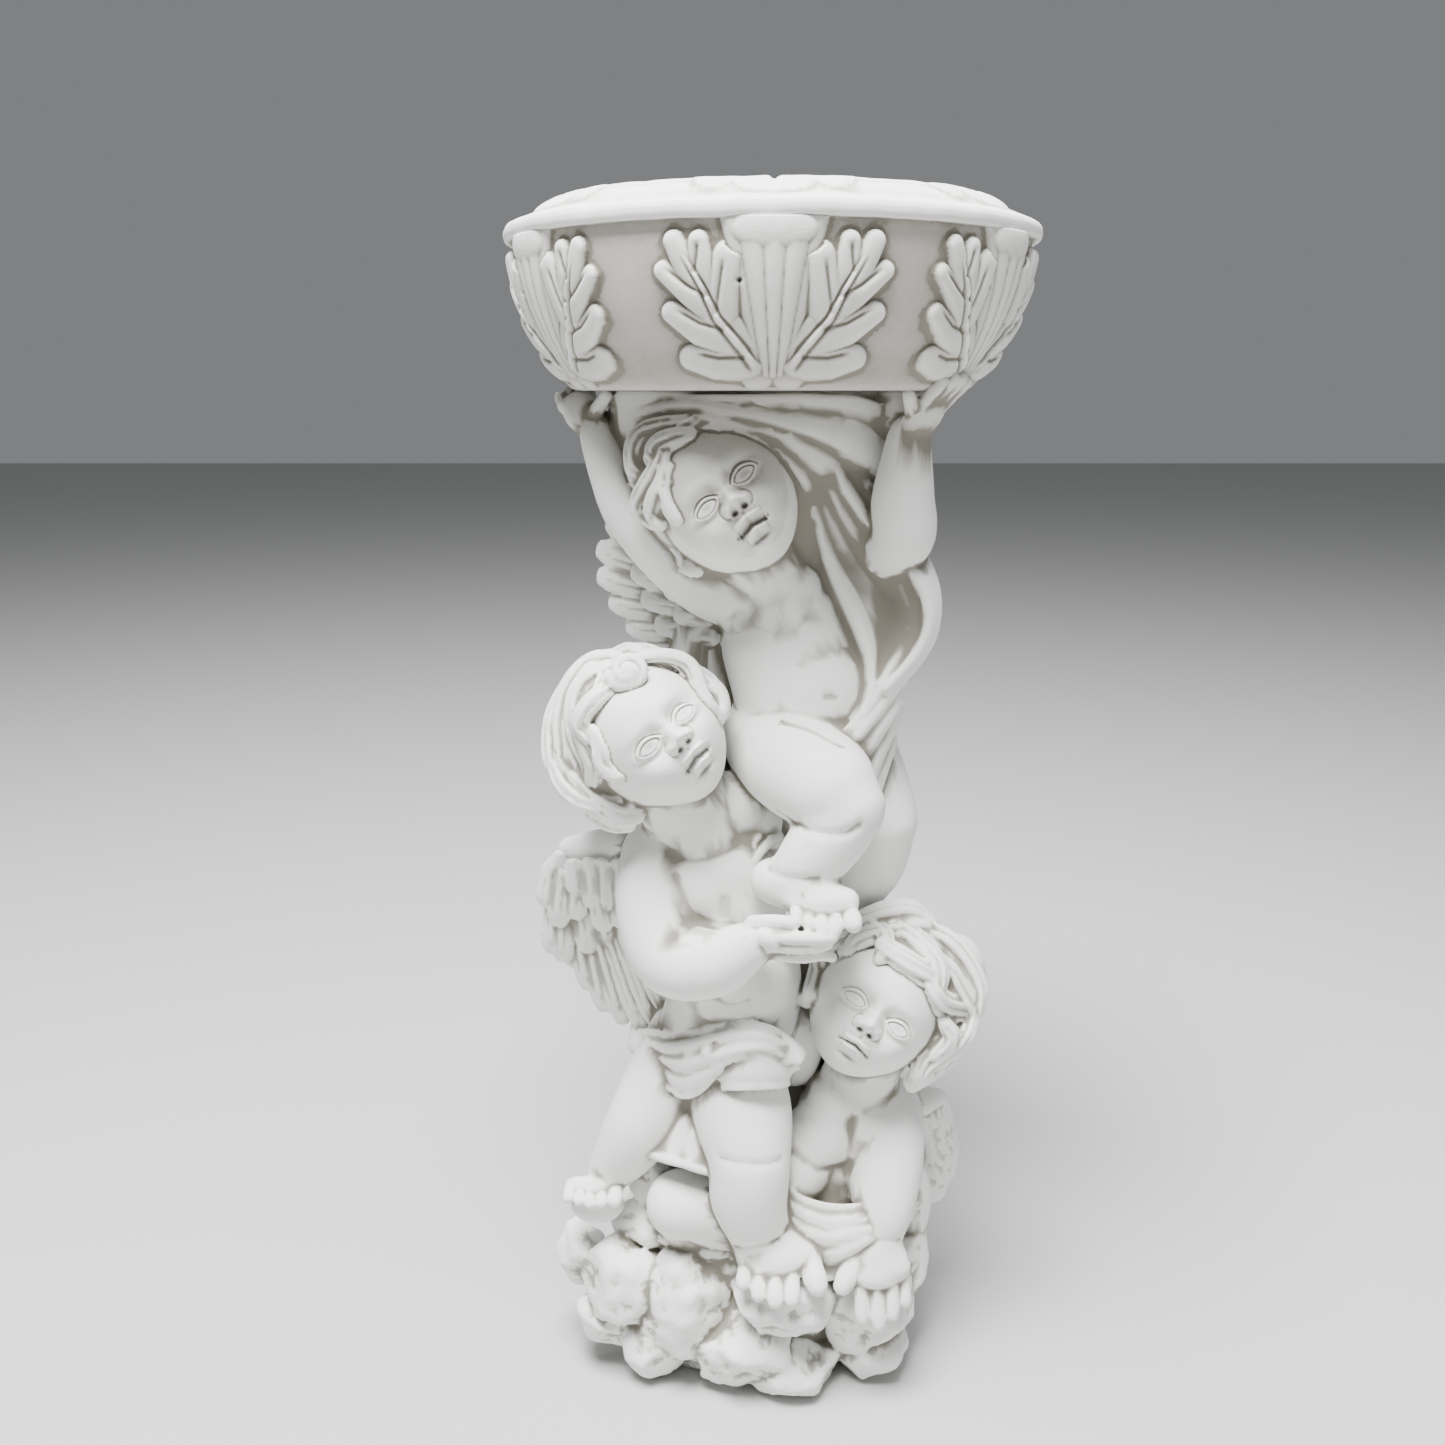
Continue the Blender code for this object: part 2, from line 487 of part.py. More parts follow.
def boulder(bm, centre, radii, turn, seed):
    """A worn rock: an ellipsoid knocked out of round."""
    rng = np.random.default_rng(seed)
    place = (
        Matrix.Translation(Vector(centre))
        @ Euler([math.radians(a) for a in turn]).to_matrix().to_4x4()
        @ Matrix.Diagonal((*radii, 1.0))
    )
    made = bmesh.ops.create_icosphere(bm, subdivisions=2, radius=1)["verts"]
    chips = [(Vector(rng.normal(size=3)).normalized(), rng.uniform(0.72, 0.9)) for _ in range(9)]
    for v in made:
        for facing, cut in chips:
            over = v.co.dot(facing) - cut
            if over > 0:
                v.co -= facing * over * 0.8
        v.co = place @ v.co


def rocks(bm):
    """The rock base: named boulders in front, as carved, and a plain ring of them behind."""
    front = (
        ((-143, -36, 98), (31, 34, 38), (0, -18, 20)),
        ((-132, -44, 34), (36, 36, 38), (0, -12, 0)),
        ((-113, -78, 82), (34, 32, 48), (10, -16, 10)),
        ((-78, -82, 30), (42, 36, 38), (0, 14, 0)),
        ((-63, -90, 94), (33, 30, 50), (8, 8, 0)),
        ((-8, -98, 22), (54, 40, 47), (0, -8, 0)),
        ((12, -102, 76), (44, 44, 40), (-6, 8, 0)),
        ((84, -88, 48), (46, 40, 58), (-10, 6, 0)),
        ((106, -40, 92), (30, 36, 42), (0, 8, 0)),
        ((-100, -52, 130), (32, 26, 28), (0, 0, 0)),
        ((-20, -58, 116), (84, 46, 36), (0, 0, 0)),
        ((62, -56, 112), (48, 44, 34), (0, 0, 0)),
        ((-88, -34, 160), (30, 26, 38), (0, 0, 0)),
        ((-94, -54, 104), (26, 28, 36), (0, 0, 0)),
    )
    for seed, (centre, radii, turn) in enumerate(front):
        boulder(bm, centre, radii, turn, seed)
    tiers = ((7, 88, 54, 48), (5, 66, 140, 42), (4, 50, 222, 36), (3, 40, 292, 30))
    for tier, (count, reach, high, size) in enumerate(tiers):
        for i in range(count):
            angle = math.radians(-12 + 204 * i / (count - 1))
            boulder(bm, (-14 + reach * math.cos(angle), 6 + reach * math.sin(angle), high + 14 * (i % 2)),
                    (size, size - 3, size + 8), (0, 0, math.degrees(angle)), 20 + 10 * tier + i)
    ball(bm, (-16, -4, 40), (112, 104, 76), finer=2)


def carving(name, material):
    """Every form of the pedestal fused to one skin, as thin as the face limit allows."""
    bm = bmesh.new()
    for part in (rocks, backing, kneeler, lap_cloth, offerer, loincloth, bearer, veil):
        part(bm)
    bmesh.ops.scale(bm, vec=(UNIT, UNIT, UNIT), verts=bm.verts)
    made = object_from(bm, name, material)
    fuse = made.modifiers.new("fuse", "REMESH")
    fuse.mode = "VOXEL"
    fuse.voxel_size = CARVING_VOXEL * UNIT
    rub = made.modifiers.new("rub", "SMOOTH")
    rub.factor = 0.5
    rub.iterations = 3
    thin = made.modifiers.new("thin", "DECIMATE")
    made.update_tag()
    graph = bpy.context.evaluated_depsgraph_get()
    thin.show_viewport = thin.show_render = False
    graph.update()
    dense = len(made.evaluated_get(graph).data.polygons) * 2
    thin.show_viewport = thin.show_render = True
    thin.ratio = PEDESTAL_FACES / dense
    return made


def cut(target, cutter):
    """Takes the cutter's shape out of the target, and keeps the cutter out of the render."""
    cutter.hide_render = True
    cutter.display_type = "WIRE"
    taken = target.modifiers.new(f"clear {cutter.name}", "BOOLEAN")
    taken.operation = "DIFFERENCE"
    taken.object = cutter


def basin_outside(height):
    """Radius of the basin's wall at a height over its seat: a round belly under the lip."""
    share = min(height / LIP_UNDERSIDE, 1.0)
    widest = BASIN_RADIUS - LIP_OVERHANG - LEAF_RELIEF
    return BASIN_SEAT_RADIUS + (widest - BASIN_SEAT_RADIUS) * math.sin(math.pi / 2 * share**0.8)


def basin_profile(rows):
    """Outline of the basin as radius and height, from the floor's centre round to the underside's.

    Also says at which of its points the carved wall starts.
    """
    floor = BASIN_SEAT_RADIUS - 2 * BASIN_WALL
    mouth = BASIN_CREST_RADIUS - BASIN_WALL
    inside = [(0.0, BASIN_WALL)]
    for i in range(8):
        share = i / 7
        inside.append((
            floor + (mouth - floor) * math.sin(math.pi / 2 * share),
            BASIN_WALL + (BASIN_HEIGHT - 1.5 * BASIN_WALL) * share**1.3,
        ))
    band = BASIN_RADIUS - BASIN_CREST_RADIUS
    edge = 0.3 * (BASIN_HEIGHT - LIP_UNDERSIDE)
    lip = [
        (BASIN_CREST_RADIUS - 0.4 * BASIN_WALL, BASIN_HEIGHT - 0.05 * BASIN_WALL),
        (BASIN_CREST_RADIUS, BASIN_HEIGHT),
        (BASIN_CREST_RADIUS + 0.45 * band, BASIN_HEIGHT - edge),
        (BASIN_RADIUS - 0.1 * band, LIP_UNDERSIDE + 1.3 * edge),
        (BASIN_RADIUS, LIP_UNDERSIDE + 0.8 * edge),
        (BASIN_RADIUS, LIP_UNDERSIDE + 0.3 * edge),
        (BASIN_RADIUS - 0.1 * band, LIP_UNDERSIDE),
    ]
    heights = [LIP_UNDERSIDE * (1 - i / rows) for i in range(rows)]
    wall = [(basin_outside(height), height) for height in heights]
    return [*inside, *lip, *wall, (BASIN_SEAT_RADIUS, 0.0), (0.0, 0.0)], len(inside) + len(lip)


def ridge(u, v, start, end, radius):
    """Height of a round-backed bar from start to end, 0 outside it and 1 along its middle."""
    (u0, v0), (u1, v1) = start, end
    run, rise = u1 - u0, v1 - v0
    t = np.clip(((u - u0) * run + (v - v0) * rise) / (run * run + rise * rise), 0, 1)
    apart = np.hypot(u - u0 - t * run, v - v0 - t * rise)
    return np.sqrt(np.clip(1 - (apart / radius) ** 2, 0, 1))


def cluster(u, v):
    """Relief of a leaf cluster: a fluted leaf with a rolled tip, between two lobed leaves.

    u is across from the cluster's middle and v up from the seat, as shares of the carved height.
    """
    lobes = (
        ((-0.46, 0.72), (-0.55, 0.86), 0.085),
        ((-0.42, 0.70), (-0.39, 0.86), 0.080),
        ((-0.30, 0.45), (-0.22, 0.78), 0.105),
        ((-0.42, 0.60), (-0.61, 0.73), 0.085),
        ((-0.33, 0.42), (-0.555, 0.49), 0.090),
        ((-0.18, 0.20), (-0.43, 0.19), 0.110),
        ((-0.10, 0.14), (-0.47, 0.80), 0.110),
    )
    side = -np.abs(u)
    leaves = np.max([ridge(side, v, *lobe) for lobe in lobes], axis=0)
    shell = ridge(side, v, (0, 0.12), (0, 0.84), 0.15) * (0.85 + 0.15 * np.cos(u * 60))
    roll = ridge(side, v, (-0.08, 0.94), (0, 0.95), 0.075)
    return np.maximum(LEAF_RELIEF * np.maximum(leaves, shell), ROLL_RELIEF * roll)


def turned(outline, spins, carve=None):
    """Spins an outline of radius and height, from axis to axis, into a closed solid at the seat.

    carve gives how far each point of a ring stands off it, from the ring's number and height.
    """
    bm = bmesh.new()
    angles = np.arange(spins) * math.tau / spins
    rings = []
    for row, (radius, height) in enumerate(outline):
        level = PEDESTAL_HEIGHT + height
        if radius == 0:
            rings.append([bm.verts.new((0, 0, level))] * spins)
            continue
        out = radius + (carve(row, height, angles) if carve else 0 * angles)
        rings.append([bm.verts.new((o * math.cos(a), o * math.sin(a), level)) for o, a in zip(out, angles)])
    for low, high in zip(rings, rings[1:]):
        for i in range(spins):
            j = (i + 1) % spins
            bm.faces.new(dict.fromkeys((low[i], low[j], high[j], high[i])))
    return bm


def basin(name, material, spins=432, rows=36):
    """The turned basin with its carved leaf clusters."""
    profile, wall_start = basin_profile(rows)
    pitch = math.tau / LEAF_CLUSTERS

    def carve(row, height, angles):
        if not wall_start <= row < wall_start + rows:
            return 0 * angles
        away = (angles + (math.pi + pitch) / 2) % pitch - pitch / 2
        across = away * basin_outside(height) / LIP_UNDERSIDE
        return cluster(across, np.full(len(angles), height / LIP_UNDERSIDE))

    made = object_from(turned(profile, spins, carve), name, material)
    thin = made.modifiers.new("thin", "DECIMATE")
    thin.ratio = BASIN_FACES / (2 * len(made.data.polygons))
    return made


def basin_clearance():
    """The space that the basin takes up, with its carving, a seat gap larger all round."""
    off = ROLL_RELIEF + SEAT_GAP
    steps = 12
    wall = [LIP_UNDERSIDE * i / steps for i in range(steps + 1)]
    outline = [(0.0, -SEAT_GAP)]
    outline += [(basin_outside(height) + off, height - SEAT_GAP) for height in wall]
    outline += [(BASIN_RADIUS + off, LIP_UNDERSIDE), (BASIN_RADIUS + off, 2 * BASIN_HEIGHT)]
    outline.append((0.0, 2 * BASIN_HEIGHT))
    return object_from(turned(outline, 72), "basin_clearance")


def ground():
    """All that lies below ground level."""
    bm = bmesh.new()
    deep = PEDESTAL_HEIGHT / 4
    place = Matrix.Translation((0, 0, -deep)) @ Matrix.Diagonal((2, 2, 1, 1))
    bmesh.ops.create_cube(bm, size=2 * deep, matrix=place)
    return object_from(bm, "ground")


def main():
    clear_scene()
    white = stone("white_cast_stone", (0.80, 0.79, 0.76))
    basin("basin", white)
    pedestal = carving("cherub_pedestal", white)
    cut(pedestal, basin_clearance())
    cut(pedestal, ground())


main()
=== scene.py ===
"""Looks of a garden birdbath: cherubs climbing a rock base carry a round leaf-carved basin."""

import math

import bmesh
import bpy
import numpy as np
from mathutils import Euler, Matrix, Vector, noise
from mathutils.bvhtree import BVHTree


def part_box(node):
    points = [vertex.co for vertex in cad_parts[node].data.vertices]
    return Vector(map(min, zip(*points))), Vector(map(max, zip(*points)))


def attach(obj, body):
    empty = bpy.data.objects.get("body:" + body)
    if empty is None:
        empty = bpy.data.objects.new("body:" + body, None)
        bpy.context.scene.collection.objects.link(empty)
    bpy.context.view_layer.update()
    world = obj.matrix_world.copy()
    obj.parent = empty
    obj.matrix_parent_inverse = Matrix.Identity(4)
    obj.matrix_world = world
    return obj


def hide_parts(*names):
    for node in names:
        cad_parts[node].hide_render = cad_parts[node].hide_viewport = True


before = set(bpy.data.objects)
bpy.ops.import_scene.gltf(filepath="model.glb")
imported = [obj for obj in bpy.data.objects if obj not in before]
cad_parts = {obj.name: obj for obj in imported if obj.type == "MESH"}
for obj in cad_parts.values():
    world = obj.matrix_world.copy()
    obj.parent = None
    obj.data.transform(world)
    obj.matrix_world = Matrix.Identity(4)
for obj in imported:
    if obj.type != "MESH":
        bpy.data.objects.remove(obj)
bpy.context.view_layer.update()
bpy.ops.object.select_all(action="DESELECT")


# The rock base
# Worn boulders heaped round a core, modelled in clay under the cherubs and cast in one with them.
# They are knocked flat in places, rough all over and deeply parted. The ring behind is plainer.
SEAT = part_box("basin")[0].z            # the pedestal's flat top, in metres
POSE_HEIGHT = 800.0                    # the group is posed in millimetres of a pedestal this tall
UNIT = SEAT / POSE_HEIGHT
ROCK_ROUGH = ((30.0, 5.0), (14.0, 2.6), (6.0, 0.9), (3.2, 0.35))    # widths, heights of its lumps
ROCK_FLATS = 13                        # knocked on each boulder


def place_of(centre, turn=(0, 0, 0), size=(1, 1, 1)):
    """Where a form stands: centre and half sizes in pose millimetres, turn in degrees."""
    return (
        Matrix.Translation(Vector(centre))
        @ Euler([math.radians(a) for a in turn]).to_matrix().to_4x4()
        @ Matrix.Diagonal((*size, 1.0))
    )


def ball(bm, centre, radii, turn=(0, 0, 0)):
    bmesh.ops.create_icosphere(bm, subdivisions=5, radius=1, matrix=place_of(centre, turn, radii))


def boulder(bm, centre, radii, turn, seed, finer=5):
    """A worn rock: an ellipsoid knocked flat on many sides and left rough."""
    rng = np.random.default_rng(seed)
    place = place_of(centre, turn, radii)
    flats = [(Vector(rng.normal(size=3)).normalized(), rng.uniform(0.66, 0.88)) for _ in range(ROCK_FLATS)]
    shift = Vector((seed * 31.0, 0, 0))
    for v in bmesh.ops.create_icosphere(bm, subdivisions=finer, radius=1)["verts"]:
        out = v.co.normalized()
        for facing, cut in flats:
            over = v.co.dot(facing) - cut
            if over > 0:
                v.co -= facing * over * 0.9
        v.co = place @ v.co
        spot = v.co + shift
        for wide, high in ROCK_ROUGH:
            v.co += out * high * noise.noise(spot / wide)


def solid_of(bm, name):
    """A new object with the form that was built in bm, facing outwards."""
    bmesh.ops.recalc_face_normals(bm, faces=bm.faces)
    mesh = bpy.data.meshes.new(name)
    bm.to_mesh(mesh)
    bm.free()
    made = bpy.data.objects.new(name, mesh)
    bpy.context.scene.collection.objects.link(made)
    return made


def clay(name, *makers):
    """One closed clay form in pose millimetres, from functions that each add to its mesh."""
    bm = bmesh.new()
    for maker in makers:
        maker(bm)
    return solid_of(bm, name)


def worked(obj, kind, **settings):
    """Gives an object a modifier with these settings, and applies it."""
    bpy.context.view_layer.objects.active = obj
    work = obj.modifiers.new("work", kind)
    for name, value in settings.items():
        setattr(work, name, value)
    bpy.ops.object.modifier_apply(modifier="work")


def fused(pieces, voxel, rubs):
    """Overlapping forms pressed into one skin, and rubbed that many times."""
    bpy.ops.object.select_all(action="DESELECT")
    for piece in pieces:
        piece.select_set(True)
    bpy.context.view_layer.objects.active = pieces[0]
    if len(pieces) > 1:
        bpy.ops.object.join()
    worked(pieces[0], "REMESH", mode="VOXEL", voxel_size=voxel)
    if rubs:
        worked(pieces[0], "SMOOTH", factor=0.5, iterations=rubs)
    pieces[0].select_set(False)
    return pieces[0]


def rocks(bm):
    front = (
        ((-153, -46, 90), (25, 26, 32), (0, -12, 10)),
        ((-118, -70, 80), (38, 35, 44), (4, 15, 0)),
        ((-126, -66, 46), (34, 31, 28), (0, 25, 0)),
        ((-66, -84, 70), (37, 35, 58), (4, 6, 0)),
        ((-88, -76, 34), (40, 35, 34), (0, 6, 0)),
        ((-20, -90, 32), (50, 42, 38), (0, -14, 0)),
        ((24, -90, 20), (40, 36, 28), (0, 10, 0)),
        ((8, -101, 86), (42, 39, 33), (-4, 6, 0)),
        ((80, -76, 62), (43, 38, 56), (-6, 4, 0)),
        ((112, -56, 90), (24, 28, 40), (0, 8, 0)),
        ((82, -74, 24), (36, 34, 28), (0, 0, 0)),
        ((-104, -50, 124), (28, 26, 22), (0, 0, 0)),
        ((-20, -54, 114), (86, 44, 34), (0, 0, 0)),
        ((62, -50, 112), (52, 44, 34), (0, 0, 0)),
        ((-88, -34, 160), (32, 28, 40), (0, 0, 0)),
    )
    for seed, (centre, radii, turn) in enumerate(front):
        boulder(bm, centre, radii, turn, seed)
    # The tiers behind: how many boulders, how far out and how high they stand, and their size.
    tiers = ((7, 88, 54, 48), (5, 66, 140, 42), (4, 50, 222, 36), (3, 40, 292, 30))
    first_bearing, sweep, stagger = -12, 204, 14
    for tier, (count, reach, high, size) in enumerate(tiers):
        for i in range(count):
            angle = math.radians(first_bearing + sweep * i / (count - 1))
            spot = (-14 + reach * math.cos(angle), 6 + reach * math.sin(angle), high + stagger * (i % 2))
            boulder(bm, spot, (size, size - 3, size + 8), (0, 0, math.degrees(angle)),
                    20 + 10 * tier + i, finer=4)
    core, core_radii = (-16, -4, 42), (118, 94, 80)
    ball(bm, core, core_radii)


rock = fused([clay("rock", rocks)], voxel=1.5, rubs=0)
rock_skin = BVHTree.FromPolygons([v.co for v in rock.data.vertices],
                                 [list(f.vertices) for f in rock.data.polygons])


# The low cherub's body
# A plump child kneeling behind the others, one hand on the rock. Its limbs are rolls of clay
# pressed together and rubbed smooth; fingers, toes and the head are added afterwards.
def curve_through(rows, steps):
    """A smooth curve through rows of numbers, with that many steps between two rows."""
    rows = np.array(rows, float)
    ends = np.vstack([2 * rows[0] - rows[1], rows, 2 * rows[-1] - rows[-2]])
    made = []
    for a, b, c, d in zip(ends, ends[1:], ends[2:], ends[3:]):
        for t in np.arange(steps) / steps:
            made.append(0.5 * (2 * b + (c - a) * t + (2 * a - 5 * b + 4 * c - d) * t**2
                               + (3 * b - a - 3 * c + d) * t**3))
    return np.array([*made, rows[-1]])


def skinned(bm, rings):
    """Faces between rings of as many points each; a ring may be one point on the axis."""
    for low, high in zip(rings, rings[1:]):
        for i in range(len(low)):
            j = (i + 1) % len(low)
            bm.faces.new(dict.fromkeys((low[i], low[j], high[j], high[i])))


def roll(bm, rows, flat=1.0, wide_along=(1, 0, 0), sides=16, steps=6, combed=0.0, strands=6, twist=0.0):
    """A closed round-ended roll through rows of x, y, z and radius.

    It is as wide as its radius along wide_along, and flat times that across it. A combed roll has
    strands along it, raised by that share of the radius, which twist by an angle from ring to ring.
    """
    line = curve_through(rows, steps)
    points, radii = line[:, :3], np.maximum(line[:, 3], 0.3)
    along = np.gradient(points, axis=0)
    along /= np.linalg.norm(along, axis=1, keepdims=True)
    ends = (0.98, 0.85, 0.55)
    first, last = ((points[i], along[i], radii[i]) for i in (0, -1))
    rings = [(first[0] - first[1] * first[2] * flat * s, first[1], first[2] * math.sqrt(1 - s * s))
             for s in ends]
    rings += list(zip(points, along, radii))
    rings += [(last[0] + last[1] * last[2] * flat * s, last[1], last[2] * math.sqrt(1 - s * s))
              for s in ends[::-1]]
    loops = []
    turns = np.arange(sides) * math.tau / sides
    for ring, (centre, direction, radius) in enumerate(rings):
        wide = np.array(wide_along, float)
        wide -= direction * (wide @ direction)
        wide /= np.linalg.norm(wide)
        thin = np.cross(direction, wide) * flat
        reach = radius * (1 + combed * (1.6 * np.abs(np.cos(0.5 * strands * turns + twist * ring)) - 1))
        spots = centre + np.outer(reach * np.cos(turns), wide) + np.outer(reach * np.sin(turns), thin)
        loops.append([bm.verts.new(spot) for spot in spots])
    skinned(bm, loops)
    bm.faces.new(loops[0][::-1])
    bm.faces.new(loops[-1])


def limb(bm, *rows, flat=1.0):
    roll(bm, rows, flat=flat, wide_along=(1, 0.2, 0.1), sides=36, steps=8)


def pad(bm, back, front, across, radii):
    """A hand's palm or a foot's sole: a flat roll with a radius behind, in its middle and in front."""
    back, front = np.array(back, float), np.array(front, float)
    spots = (back, 0.5 * (back + front), front)
    roll(bm, [(*spot, radius) for spot, radius in zip(spots, radii)],
         flat=0.62, wide_along=across, sides=28)


def digits(bm, across, *rows):
    """Fingers or toes, each from its root to its tip, with the radius of its pad."""
    for root, tip, radius in rows:
        root, tip = np.array(root, float), np.array(tip, float)
        spots = [root + share * (tip - root) for share in (0, 0.45, 0.8, 1)]
        roll(bm, [(*spot, radius * size) for spot, size in zip(spots, (1.0, 0.98, 1.04, 0.92))],
             wide_along=across, sides=18, steps=4)


PALM = np.array((12, 17, 15))          # radii at the wrist, the middle and the knuckles
SOLE = np.array((15, 17, 20))          # radii at the heel, the middle and the toes


def points_of(mesh, what="co"):
    """A mesh's points, or their normals, as rows of x, y and z."""
    made = np.empty(len(mesh.vertices) * 3, np.float32)
    mesh.vertices.foreach_get(what, made)
    return made.reshape(-1, 3).astype(float)


def put_points(mesh, points):
    mesh.vertices.foreach_set("co", points.astype(np.float32).ravel())
    mesh.update()


def scored(form, lines):
    """Creases pressed into a clay form with a round tool: each is points, half width and depth."""
    points, normals = points_of(form.data), points_of(form.data, "normal")
    tree = BVHTree.FromPolygons(points.tolist(), [list(f.vertices) for f in form.data.polygons])
    for line, width, depth in lines:
        line = curve_through(line, 8) if len(line) > 1 else np.array(line, float)
        marks = np.array([tree.find_nearest(Vector(spot))[0] for spot in line])
        near = np.flatnonzero(np.abs(points - marks.mean(0)).max(1) < 60)
        apart = np.sqrt(((points[near, None] - marks[None]) ** 2).sum(2)).min(1)
        points[near] -= normals[near] * (depth * np.exp(-((apart / width) ** 2)))[:, None]
    put_points(form.data, points)
    return form


def low_body(bm):
    limb(bm, (84, -54, 286, 31), (76, -46, 252, 31), (70, -44, 226, 34))
    limb(bm, (70, -36, 226, 43), (68, -38, 200, 49), (54, -34, 155, 50), (34, -30, 120, 52), flat=0.82)
    ball(bm, (45, -60, 208), (31, 27, 31), turn=(0, -14, 0))
    ball(bm, (88, -56, 215), (34, 29, 32))
    ball(bm, (66, -54, 232), (34, 24, 24))
    ball(bm, (66, -54, 204), (36, 29, 34))
    ball(bm, (80, -50, 184), (30, 28, 30))
    limb(bm, (40, -56, 200, 24), (26, -62, 188, 30), (10, -68, 172, 28), (-8, -68, 152, 22))
    limb(bm, (100, -48, 224, 29), (99, -62, 206, 30), (96, -76, 184, 29), (93, -90, 160, 25),
         (90, -98, 142, 19))
    pad(bm, (90, -98, 140), (87, -110, 118), (1, 0.1, 0.1), 1.45 * PALM)
    limb(bm, (72, -112, 116, 11), (88, -113, 114, 12), (106, -108, 114, 9))
    limb(bm, (16, -36, 130, 38), (-26, -60, 142, 37), (-58, -80, 158, 30))
    ball(bm, (-70, -84, 160), (28, 27, 28))
    limb(bm, (-68, -76, 152, 25), (-60, -60, 118, 25))
    limb(bm, (46, -20, 124, 38), (80, -10, 120, 36), (100, 10, 112, 30))
    ball(bm, (86, -60, 320), (44, 46, 54))


def low_digits(bm):
    digits(bm, (1, 0, 0), ((74, -115, 114), (75, -124, 84), 6.0), ((86, -115, 112), (88, -125, 79), 6.0),
           ((98, -114, 112), (99, -123, 86), 5.6), ((108, -110, 111), (110, -117, 93), 5.1),
           ((74, -106, 132), (59, -121, 111), 8.4))
    ball(bm, (90, -110, 120), (24, 12, 14))


low_flesh = scored(fused([clay("low_flesh", low_body)], voxel=2.0, rubs=26), [
    ([(67, -72, 230), (66, -78, 216), (65, -80, 200), (62, -82, 188)], 5.0, 2.6),
    ([(22, -78, 202), (32, -84, 196), (44, -87, 191), (56, -86, 189), (64, -82, 192)], 4.0, 2.0),
    ([(76, -114, 142), (90, -112, 146), (104, -108, 144)], 2.5, 2.0),
])
low_fingers = clay("low_fingers", low_digits)


# The middle cherub's body
# It stands on one leg with the other foot on the rock, and holds the top one's foot in its hand.
def middle_body(bm):
    limb(bm, (-76, -72, 512, 35), (-62, -60, 482, 35), (-52, -52, 452, 36))
    ball(bm, (-36, -52, 484), (32, 24, 30))
    ball(bm, (-16, -42, 470), (28, 22, 24))
    ball(bm, (24, -34, 284), (24, 22, 46))
    limb(bm, (-48, -46, 456, 43), (-42, -50, 428, 51), (-32, -56, 385, 51), (-26, -56, 335, 54),
         (-36, -46, 288, 54), flat=0.84)
    ball(bm, (-24, -74, 352), (45, 36, 46))
    ball(bm, (-46, -66, 432), (44, 29, 34))
    ball(bm, (-60, -74, 424), (32, 27, 34))
    ball(bm, (-40, -74, 396), (34, 26, 26))
    limb(bm, (-84, -56, 450, 31), (-88, -76, 416, 31), (-76, -98, 380, 29), (-44, -112, 381, 27),
         (-14, -124, 400, 18))
    pad(bm, (-14, -122, 404), (6, -134, 407), (-0.1, -0.7, 0.45), 1.05 * PALM)
    limb(bm, (-18, -34, 448, 30), (2, -28, 420, 28), (20, -10, 392, 24))
    limb(bm, (-58, -38, 285, 38), (-80, -52, 252, 36), (-98, -62, 226, 31), (-112, -60, 200, 27),
         (-128, -54, 174, 20))
    pad(bm, (-136, -46, 160), (-140, -68, 160), (1, -0.1, 0.0), 0.9 * SOLE)
    ball(bm, (-139, -64, 148), (23, 15, 17))
    limb(bm, (-30, -62, 275, 40), (-20, -86, 238, 40), (-15, -102, 208, 33), (-15, -102, 178, 31),
         (-8, -98, 150, 26), (-4, -94, 132, 24))
    pad(bm, (-12, -84, 124), (4, -110, 122), (1, 0.05, 0.0), 1.25 * SOLE)
    limb(bm, (-12, -108, 128, 14), (8, -112, 128, 17), (26, -108, 130, 15))
    ball(bm, (8, -104, 136), (26, 18, 16))
    limb(bm, (-157, -70, 168, 8), (-142, -73, 168, 9), (-127, -71, 169, 8.5))
    ball(bm, (-88, -76, 545), (44, 46, 54))


def middle_digits(bm):
    for finger in (
        ((-5, -134, 414, 5), (7, -142, 413, 4.8), (22, -148, 415, 4.8), (34, -149, 415, 4.8),
         (44, -147, 415, 4.3)),
        ((-5, -134, 405, 5), (13, -142, 405, 4.8), (29, -146, 407, 4.8), (40, -146, 409, 4.2)),
        ((-1, -130, 396, 5), (21, -138, 396, 4.8), (37, -140, 399, 4.7), (44, -138, 396, 4.2)),
        ((-14, -124, 417, 6), (2, -134, 422, 5.4), (16, -142, 424, 4.8)),
    ):
        roll(bm, finger, wide_along=(0, -0.6, 0.8), sides=18, steps=5)
    digits(bm, (1, 0, 0), ((-160, -68, 168), (-161, -82, 164), 4.9), ((-152, -70, 168),
           (-152, -85, 163), 5.0), ((-143, -71, 168), (-143, -87, 162), 5.1), ((-134, -71, 168),
           (-134, -86, 162), 5.2),
           ((-124, -70, 168), (-123, -84, 163), 6.6))
    digits(bm, (1, 0, 0), ((-17, -112, 124), (-20, -128, 118), 6.2), ((-6, -116, 124),
           (-8, -135, 113), 6.5), ((6, -118, 124), (5, -139, 110), 6.7), ((18, -118, 124),
           (18, -138, 111), 6.8),
           ((33, -112, 128), (38, -132, 119), 9.4))


